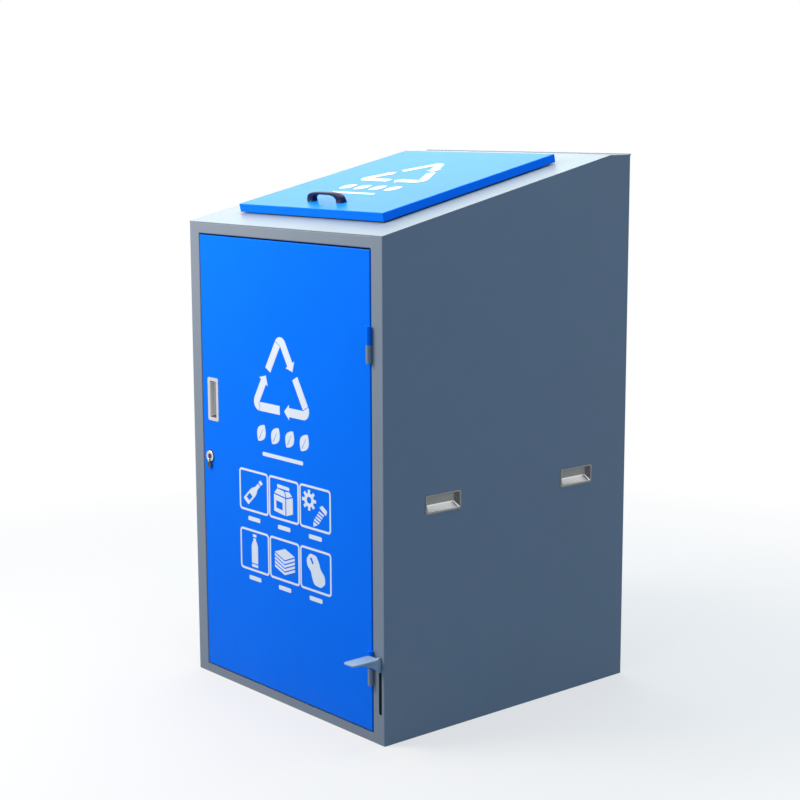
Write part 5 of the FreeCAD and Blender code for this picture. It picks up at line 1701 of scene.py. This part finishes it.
@dataclass
class Housing:
    """Standing shell: flush pulls, seals, rivets, welds, pin heads and the rear hem."""

    bench: Workbench
    roof: Roof
    chute_lap: float = 30.0 * MM
    chute_front: float = 124.0 * MM
    chute_rear: float = 130.0 * MM
    chute_corner: float = 3.0 * MM
    chute_seal_middle: float = 12.6 * MM
    chute_seal_section: Point = (2.95 * MM, 7.5 * MM)
    lip_half: float = 0.75 * MM
    seal_strip: float = 10.5 * MM
    seal_corner: float = 2.0 * MM
    door_gap: float = 3.0 * MM
    rivet_radii: Triple = (5.0 * MM, 1.4 * MM, 5.0 * MM)
    rivet_count: int = 6
    rivet_inset: float = 50.0 * MM
    weld_millimetres: tuple[Point, ...] = ((-0.7, 0.0), (1.3, -0.05), (3.6, 0.0), (3.3, 2.4), (-0.3, 2.4))
    weld_clear: float = 0.75 * MM
    pin_head_radii: Triple = (3.2 * MM, 3.2 * MM, 1.8 * MM)
    hem: Point = (4.0 * MM, 2.6 * MM)
    hem_bite: float = 0.4 * MM
    hem_soft: float = 0.91 * MM
    ledge_height: float = 1232.0 * MM

    def build(self) -> None:
        """Builds every piece of the shell that is not left as packed."""
        self._pulls()
        self._chute_seal()
        self._door_seal()
        self._back_rivets()
        self._corner_welds()
        self._hinge_pin_heads()
        self._rear_hem()

    def _pulls(self) -> None:
        """Two pulls on each side."""
        for side, across in (("right", -UPWARD), ("left", UPWARD)):
            for where in ("front", "rear"):
                node = f"{side}_{where}_pull"
                FlushPull(self.bench, node, Body.HOUSING, across, REARWARD, SIDE_PULL).build()

    def _chute_seal(self) -> None:
        """Bulb trim round the chute."""
        _, lid_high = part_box("lid_skin")
        half = lid_high.x - self.chute_lap + self.lip_half
        front = self.chute_front - self.lip_half
        rear = self.roof.length - self.chute_rear + self.lip_half
        path = edge_path("chute_path", [(-half, front), (half, front), (half, rear), (-half, rear)], True)
        low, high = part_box("chute_seal")
        values = {
            "Corner": self.chute_corner, "Section": (*self.chute_seal_section, 1.0),
            "Material": self.bench.finishes.material(Slot.SEAL_RUBBER, "chute_seal_bulb", low, high),
        }
        place = self.roof.place(above=self.chute_seal_middle)
        mesh = self.bench.recipes.trim.mesh("chute_seal_bulb", values, place, path)
        self.bench.fit(mesh, Body.HOUSING, Slot.SEAL_RUBBER, replaces=["chute_seal"])

    def _door_seal(self) -> None:
        """Soft strip on both door stops and under the top rail."""
        low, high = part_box("door_seal")
        half = self.seal_strip / 2
        x, top = high.x - half, high.z - half
        path = edge_path("door_seal_path", [(-x, low.z), (-x, top), (x, top), (x, low.z)], False)
        values = {
            "Corner": self.seal_corner, "Section": (half, (high.y - low.y) / 2, 1.0),
            "Material": self.bench.finishes.material(Slot.SEAL_RUBBER, "door_seal_strip", low, high),
        }
        place = facing(Vector((0.0, (low.y + high.y) / 2, 0.0)))
        mesh = self.bench.recipes.trim.mesh("door_seal_strip", values, place, path)
        self.bench.fit(mesh, Body.HOUSING, Slot.SEAL_RUBBER, replaces=["door_seal"])

    def _back_rivets(self) -> None:
        """Rivets that hold the back sheet to the rear base tube."""
        low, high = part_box("back_panel")
        _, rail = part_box("base_rail_rear")
        pitch = (high.x - low.x - 2 * self.rivet_inset) / (self.rivet_count - 1)
        values = {
            "Count": self.rivet_count, "Start": (low.x + self.rivet_inset, high.y, rail.z / 2),
            "Step": (pitch, 0.0, 0.0), "Radii": self.rivet_radii,
            "Material": self.bench.finishes.material(Slot.GREY_PAINT, "back_rivets", low, high),
        }
        mesh = self.bench.recipes.dome_row.mesh("back_rivets", values)
        self.bench.fit(mesh, Body.HOUSING, Slot.GREY_PAINT)

    def _corner_welds(self) -> None:
        """Welds, ground flush, between the stiles and the rails of the front frame."""
        section = in_metres(self.weld_millimetres)
        door_low, door_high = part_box("door_skin")
        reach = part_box("front_top_rail")[1].x
        spans = {
            "top": (door_high.z + self.door_gap, self.roof.front.z - self.weld_clear),
            "base": (self.weld_clear, door_low.z - self.door_gap),
        }
        for name, (start, end) in spans.items():
            heights = [start, (start + end) / 2, end]
            for side, sign in (("left", -1), ("right", 1)):
                flat = [(sign * (reach + x), door_low.y + y) for x, y in section]
                rings = [[Vector((*point, z)) for point in flat] for z in heights]
                mesh = MeshKit.loft(f"{name}_{side}_weld", rings)
                self.bench.fit(mesh, Body.HOUSING, Slot.GREY_PAINT)

    def _hinge_pin_heads(self) -> None:
        """Domed ends of the door hinges' pins."""
        _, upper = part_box("upper_hinge_door_half")
        _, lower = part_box("lower_hinge_door_half")
        low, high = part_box("door_hinge_pins")
        axis = (low + high) / 2
        values = {
            "Count": 2, "Start": (axis.x, axis.y, lower.z), "Step": (0.0, 0.0, upper.z - lower.z),
            "Radii": self.pin_head_radii,
            "Material": self.bench.finishes.material(Slot.BLUE_PAINT, "hinge_pin_heads", low, high),
        }
        mesh = self.bench.recipes.dome_row.mesh("hinge_pin_heads", values)
        self.bench.fit(mesh, Body.HOUSING, Slot.BLUE_PAINT)

    def _rear_hem(self) -> None:
        """Folded-over hem along the rear edge of the top."""
        low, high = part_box("top_panel")
        width, height = self.hem
        half = (high.x - low.x) / 2
        soft = self.hem_soft
        bow = soft * EDGE_BOW
        section = [
            (0.0, -self.hem_bite), (0.0, height - soft), (-bow, height - bow), (-soft, height),
            (soft - width, height), (bow - width, height - bow), (-width, height - soft),
            (-width, -self.hem_bite),
        ]
        lower = height - soft
        rings = []
        for x, top in ((-half, lower), (soft - half, height), (half - soft, height), (half, lower)):
            rings.append([Vector((x, high.y + y, self.ledge_height + min(z, top))) for y, z in section])
        mesh = MeshKit.loft("rear_hem", rings)
        self.bench.fit(mesh, Body.HOUSING, Slot.GREY_PAINT)


@dataclass
class Pedal:
    """Foot plate with rounded edges, and the weld under it."""

    bench: Workbench
    edge: float = 0.9 * MM
    corner: float = 7.0 * MM
    weld_radii: Triple = (2.2 * MM, 2.6 * MM, 2.2 * MM)
    weld_pitch: float = 2.4 * MM
    weld_inset: float = 4.0 * MM
    weld_count: int = 18

    def build(self) -> None:
        """Builds the plate and its weld."""
        low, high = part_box("pedal_foot_plate")
        half = (high - low) / 2
        edge = self.edge
        bow = edge * EDGE_BOW
        upper = [(0.0, half.z - edge), (bow, half.z - bow), (edge, half.z)]
        lower = [(inset, -height) for inset, height in upper[::-1]]
        rings = [
            MeshKit.rounded_rectangle(half.x - inset, half.y - inset, self.corner - inset, height)
            for inset, height in lower + upper
        ]
        mesh = MeshKit.loft("foot_plate", rings, Matrix.Translation((low + high) / 2))
        self.bench.fit(mesh, Body.PEDAL, Slot.PEDAL_PAINT, replaces=["pedal_foot_plate"])
        lever_low, lever_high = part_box("pedal_lever")
        paint = self.bench.finishes.material(Slot.PEDAL_PAINT, "pedal_weld", low, high)
        for side, x in (("left", lever_low.x), ("right", lever_high.x)):
            values = {
                "Count": self.weld_count, "Start": (x, high.y - self.weld_inset, low.z),
                "Step": (0.0, -self.weld_pitch, 0.0), "Radii": self.weld_radii, "Material": paint,
            }
            bead = self.bench.recipes.dome_row.mesh(f"pedal_weld_{side}", values)
            self.bench.fit(bead, Body.PEDAL, Slot.PEDAL_PAINT)


@dataclass
class InnerBin:
    """Wheeled bin inside: ribs on its walls, and tyres with tread."""

    bench: Workbench
    rib_width: float = 9.0 * MM
    rib_depth: float = 5.0 * MM
    rib_pitch: float = 75.0 * MM
    rib_share: float = 0.74
    rib_middle: float = 0.52
    front_ribs: int = 5
    side_ribs: int = 4
    side_rib_start: float = 150.0 * MM
    rim: float = 16.0 * MM
    rim_height: float = 28.0 * MM
    taper: float = 30.0 * MM
    shoulder: float = 6.0 * MM
    rim_radius: float = 66.0 * MM
    rim_lip: float = 2.0 * MM
    dish_depth: float = 10.0 * MM
    dish_slope: float = 3.0 * MM
    hub_radius: float = 22.0 * MM
    hub_foot: float = 4.0 * MM
    hub_taper: float = 1.0 * MM
    bore_radius: float = 9.1 * MM
    wheel_steps: int = 72
    tread_depth: float = 2.5 * MM
    tread_count: int = 36
    tread_block: Point = (9.0 * MM, 13.0 * MM)
    tread_spread: float = 7.0 * MM

    def build(self) -> None:
        """Builds the ribs and both wheels."""
        self._ribs()
        for side, body in (("left", Body.WHEEL_LEFT), ("right", Body.WHEEL_RIGHT)):
            self._wheel(side, body)

    def _ribs(self) -> None:
        """Upright ribs on the front and side walls, leaning with the walls."""
        low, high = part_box("bin_body")
        tall = high.z - self.rim_height - low.z
        lean = math.atan2(self.taper, tall)
        length = tall * self.rib_share
        middle = low.z + tall * self.rib_middle
        inset = self.rim + self.taper * (1 - self.rib_middle)
        front = low.y + inset
        side = high.x - inset
        first_x = -(self.front_ribs - 1) / 2 * self.rib_pitch
        first_y = front + self.side_rib_start
        rearward = {
            "Count": self.side_ribs, "Step": (0.0, self.rib_pitch, 0.0),
            "Size": (self.rib_depth, self.rib_width, length),
        }
        rows = {
            "front": {
                "Count": self.front_ribs, "Step": (self.rib_pitch, 0.0, 0.0),
                "Size": (self.rib_width, self.rib_depth, length),
                "Start": (first_x, front, middle), "Lean": (lean, 0.0, 0.0),
            },
            "left": {**rearward, "Start": (-side, first_y, middle), "Lean": (0.0, -lean, 0.0)},
            "right": {**rearward, "Start": (side, first_y, middle), "Lean": (0.0, lean, 0.0)},
        }
        plastic = self.bench.finishes.material(Slot.BIN_PLASTIC, "bin_ribs", low, high)
        for where, values in rows.items():
            mesh = self.bench.recipes.rib_row.mesh(f"bin_{where}_ribs", {**values, "Material": plastic})
            self.bench.fit(mesh, Body.HOUSING, Slot.BIN_PLASTIC)

    def _wheel(self, side: str, body: Body) -> None:
        """Turned wheel with a ring of tread blocks.

        Args:
            side: Left or right.
            body: The wheel's body.
        """
        node = f"bin_wheel_{side}"
        low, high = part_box(node)
        half = (high.x - low.x) / 2
        tyre = (high.z - low.z) / 2 - self.tread_depth
        across = REARWARD if side == "right" else -REARWARD
        place = facing((low + high) / 2, across)
        dish = half - self.dish_depth
        bore, rim, hub, shoulder = self.bore_radius, self.rim_radius, self.hub_radius, self.shoulder
        profile = [
            (bore, -half), (rim, -half), (tyre - shoulder, -half), (tyre, -half + shoulder),
            (tyre, half - shoulder), (tyre - shoulder, half), (rim + self.rim_lip, half),
            (rim, half - self.rim_lip), (rim - self.dish_slope, dish), (hub + self.hub_foot, dish),
            (hub, dish + self.dish_slope), (hub - self.hub_taper, half), (bore, half),
        ]
        mesh = MeshKit.turned(f"{side}_wheel_tyre", profile, place, self.wheel_steps)
        self.bench.fit(mesh, body, Slot.TYRE_RUBBER, replaces=[node])
        name = f"{side}_wheel_tread"
        values = {
            "Count": self.tread_count, "Radius": tyre, "Block": (2 * self.tread_depth, *self.tread_block),
            "Spread": self.tread_spread,
            "Material": self.bench.finishes.material(Slot.TYRE_RUBBER, name, low, high),
        }
        self.bench.fit(self.bench.recipes.tread_ring.mesh(name, values, place), body, Slot.TYRE_RUBBER)


@dataclass(frozen=True)
class Softbox:
    """Rectangular studio lamp that looks at a point."""

    name: str
    position: Triple
    target: Triple
    width: float
    height: float
    watts: float
    colour: Colour

    def build(self) -> None:
        """Adds the lamp."""
        data = bpy.data.lights.new(self.name, "AREA")
        data.shape = "RECTANGLE"
        data.size = self.width
        data.size_y = self.height
        data.energy = self.watts
        data.color = self.colour
        lamp = bpy.data.objects.new(self.name, data)
        lamp.location = self.position
        look = Vector(self.target) - Vector(self.position)
        lamp.rotation_euler = look.to_track_quat("-Z", "Y").to_euler()
        bpy.context.scene.collection.objects.link(lamp)


@dataclass
class Studio:
    """Pale floor, soft lamps, a dim sky and the camera."""

    lamps: tuple[Softbox, ...] = (
        Softbox(
            "key_softbox", position=(-0.95, -1.75, 2.0), target=(0.0, -0.3, 0.7),
            width=1.1, height=1.1, watts=49.0, colour=(1.0, 0.88, 0.76),
        ),
        Softbox(
            "top_softbox", position=(0.0, 0.05, 2.6), target=(0.0, 0.05, 0.0),
            width=1.3, height=1.6, watts=38.0, colour=(1.0, 0.98, 0.8),
        ),
        Softbox(
            "rear_softbox", position=(-2.25, 1.5, 2.44), target=(0.0, -0.05, 1.15),
            width=2.2, height=1.6, watts=23.0, colour=(0.86, 1.0, 1.0),
        ),
    )
    floor_half: float = 14.0
    floor_glow: float = 0.62
    floor_seen: Colour = (0.27, 0.255, 0.24)
    floor_bounce: Colour = (0.15, 0.15, 0.15)
    shadow_reach: Point = (0.9, 2.2)
    sky: Colour = (0.28, 0.5, 0.78)
    azimuth: float = 49.542
    elevation: float = 9.577
    roll: float = -0.184
    camera_position: Triple = (2.9705, -2.5593, 1.3230)
    focal_pixels: float = 1689.7
    frame_pixels: float = 800.0
    sensor: float = 36.0

    def build(self) -> None:
        """Builds the whole studio."""
        bpy.context.scene.view_settings.view_transform = "Standard"
        self._floor()
        self._sky()
        self._camera()
        for lamp in self.lamps:
            lamp.build()
            LOG.info("%s at %.0f W", lamp.name, lamp.watts)

    @staticmethod
    def _seen_directly(graph: NodeGraph) -> Socket:
        """Tells what the camera sees, also in gloss and through glass, from what lights the object.

        Args:
            graph: The tree that asks.

        Returns:
            1 for rays from the camera, from gloss and through glass, 0 for diffuse light.
        """
        path = graph.add("ShaderNodeLightPath").outputs
        mirrored = graph.math("MAXIMUM", path["Is Glossy Ray"], path["Is Transmission Ray"])
        return graph.math("MAXIMUM", path["Is Camera Ray"], mirrored)

    def _floor(self) -> None:
        """Pale floor that shows the object's shadow and fades to white further out."""
        mesh = bpy.data.meshes.new("studio_floor")
        half = self.floor_half
        corners = [(-half, -half, 0.0), (half, -half, 0.0), (half, half, 0.0), (-half, half, 0.0)]
        mesh.from_pydata(corners, [], [(0, 1, 2, 3)])
        material = bpy.data.materials.new("studio_floor")
        material.use_nodes = True
        material.cycles.emission_sampling = "NONE"
        tree = material.node_tree
        tree.nodes.clear()
        graph = NodeGraph(tree)
        glow = graph.add("ShaderNodeEmission", {"Color": rgba(WHITE), "Strength": self.floor_glow})
        paint = graph.add("ShaderNodeBsdfDiffuse", {"Color": rgba(self.floor_seen)})
        near = graph.add("ShaderNodeAddShader", {0: glow.outputs[0], 1: paint.outputs[0]})
        far = graph.add("ShaderNodeEmission", {"Color": rgba(WHITE), "Strength": 1.0})
        length = graph.add("ShaderNodeVectorMath", {0: graph.object_place()}, operation="LENGTH")
        fade = graph.ramp(length.outputs["Value"], *self.shadow_reach)
        shown = graph.add("ShaderNodeMixShader", {0: fade, 1: near.outputs[0], 2: far.outputs[0]})
        bounce = graph.add("ShaderNodeBsdfDiffuse", {"Color": rgba(self.floor_bounce)})
        blend = {0: self._seen_directly(graph), 1: bounce.outputs[0], 2: shown.outputs[0]}
        both = graph.add("ShaderNodeMixShader", blend)
        graph.add("ShaderNodeOutputMaterial", {"Surface": both.outputs[0]})
        mesh.materials.append(material)
        floor = bpy.data.objects.new("studio_floor", mesh)
        bpy.context.scene.collection.objects.link(floor)
        floor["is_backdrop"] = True

    def _sky(self) -> None:
        """White to the camera and in gloss, dim and cool as light."""
        world = bpy.data.worlds.new("studio_sky")
        world.use_nodes = True
        tree = world.node_tree
        tree.nodes.clear()
        graph = NodeGraph(tree)
        light = graph.add("ShaderNodeBackground", {"Color": rgba(self.sky), "Strength": 1.0})
        backdrop = graph.add("ShaderNodeBackground", {"Color": rgba(WHITE), "Strength": 1.0})
        blend = {0: self._seen_directly(graph), 1: light.outputs[0], 2: backdrop.outputs[0]}
        both = graph.add("ShaderNodeMixShader", blend)
        graph.add("ShaderNodeOutputWorld", {"Surface": both.outputs[0]})
        bpy.context.scene.world = world

    def _camera(self) -> None:
        """Camera at the photograph's angle."""
        azimuth = math.radians(self.azimuth)
        elevation = math.radians(self.elevation)
        level = math.cos(elevation)
        back = Vector((math.sin(azimuth) * level, -math.cos(azimuth) * level, math.sin(elevation)))
        right = UPWARD.cross(back).normalized()
        turn = Matrix((right, back.cross(right), back)).transposed()
        data = bpy.data.cameras.new("studio_camera")
        data.sensor_width = self.sensor
        data.lens = self.focal_pixels / self.frame_pixels * self.sensor
        camera = bpy.data.objects.new("studio_camera", data)
        roll = Matrix.Rotation(math.radians(self.roll), 4, "Z")
        camera.matrix_world = Matrix.Translation(self.camera_position) @ turn.to_4x4() @ roll
        bpy.context.scene.collection.objects.link(camera)
        bpy.context.scene.camera = camera


def write_sizes() -> None:
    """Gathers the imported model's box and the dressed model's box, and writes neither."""
    boxes = {"cad": CAD_BOX, "visual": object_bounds()}
    {name: [list(low), list(high)] for name, (low, high) in boxes.items()}


def main() -> None:
    """Builds the object piece by piece, then the studio."""
    logging.basicConfig(level=logging.INFO, format="%(name)s: %(message)s")
    bench = Workbench()
    leaves = [f"{side}_lid_hinge_{kind}_leaf" for side in ("left", "right") for kind in ("fixed", "moving")]
    # Dark steel: painted shade on the lock plug's keyhole and on the dust cover; a darker plating on the lid
    # hinge leaves.
    bench.dress_nodes(["lock_plug", "lock_dust_cover", *leaves])
    roof = Roof()
    Housing(bench, roof).build()
    FlushPull(bench, "door_pull", Body.DOOR, RIGHTWARD, UPWARD, DOOR_PULL).build()
    DoorSign(bench).build()
    Lock(bench).build()
    LidSign(bench, roof).build()
    LidHandle(bench, roof).build()
    Pedal(bench).build()
    InnerBin(bench).build()
    Studio().build()
    write_sizes()


if __name__ == "__main__":
    main()
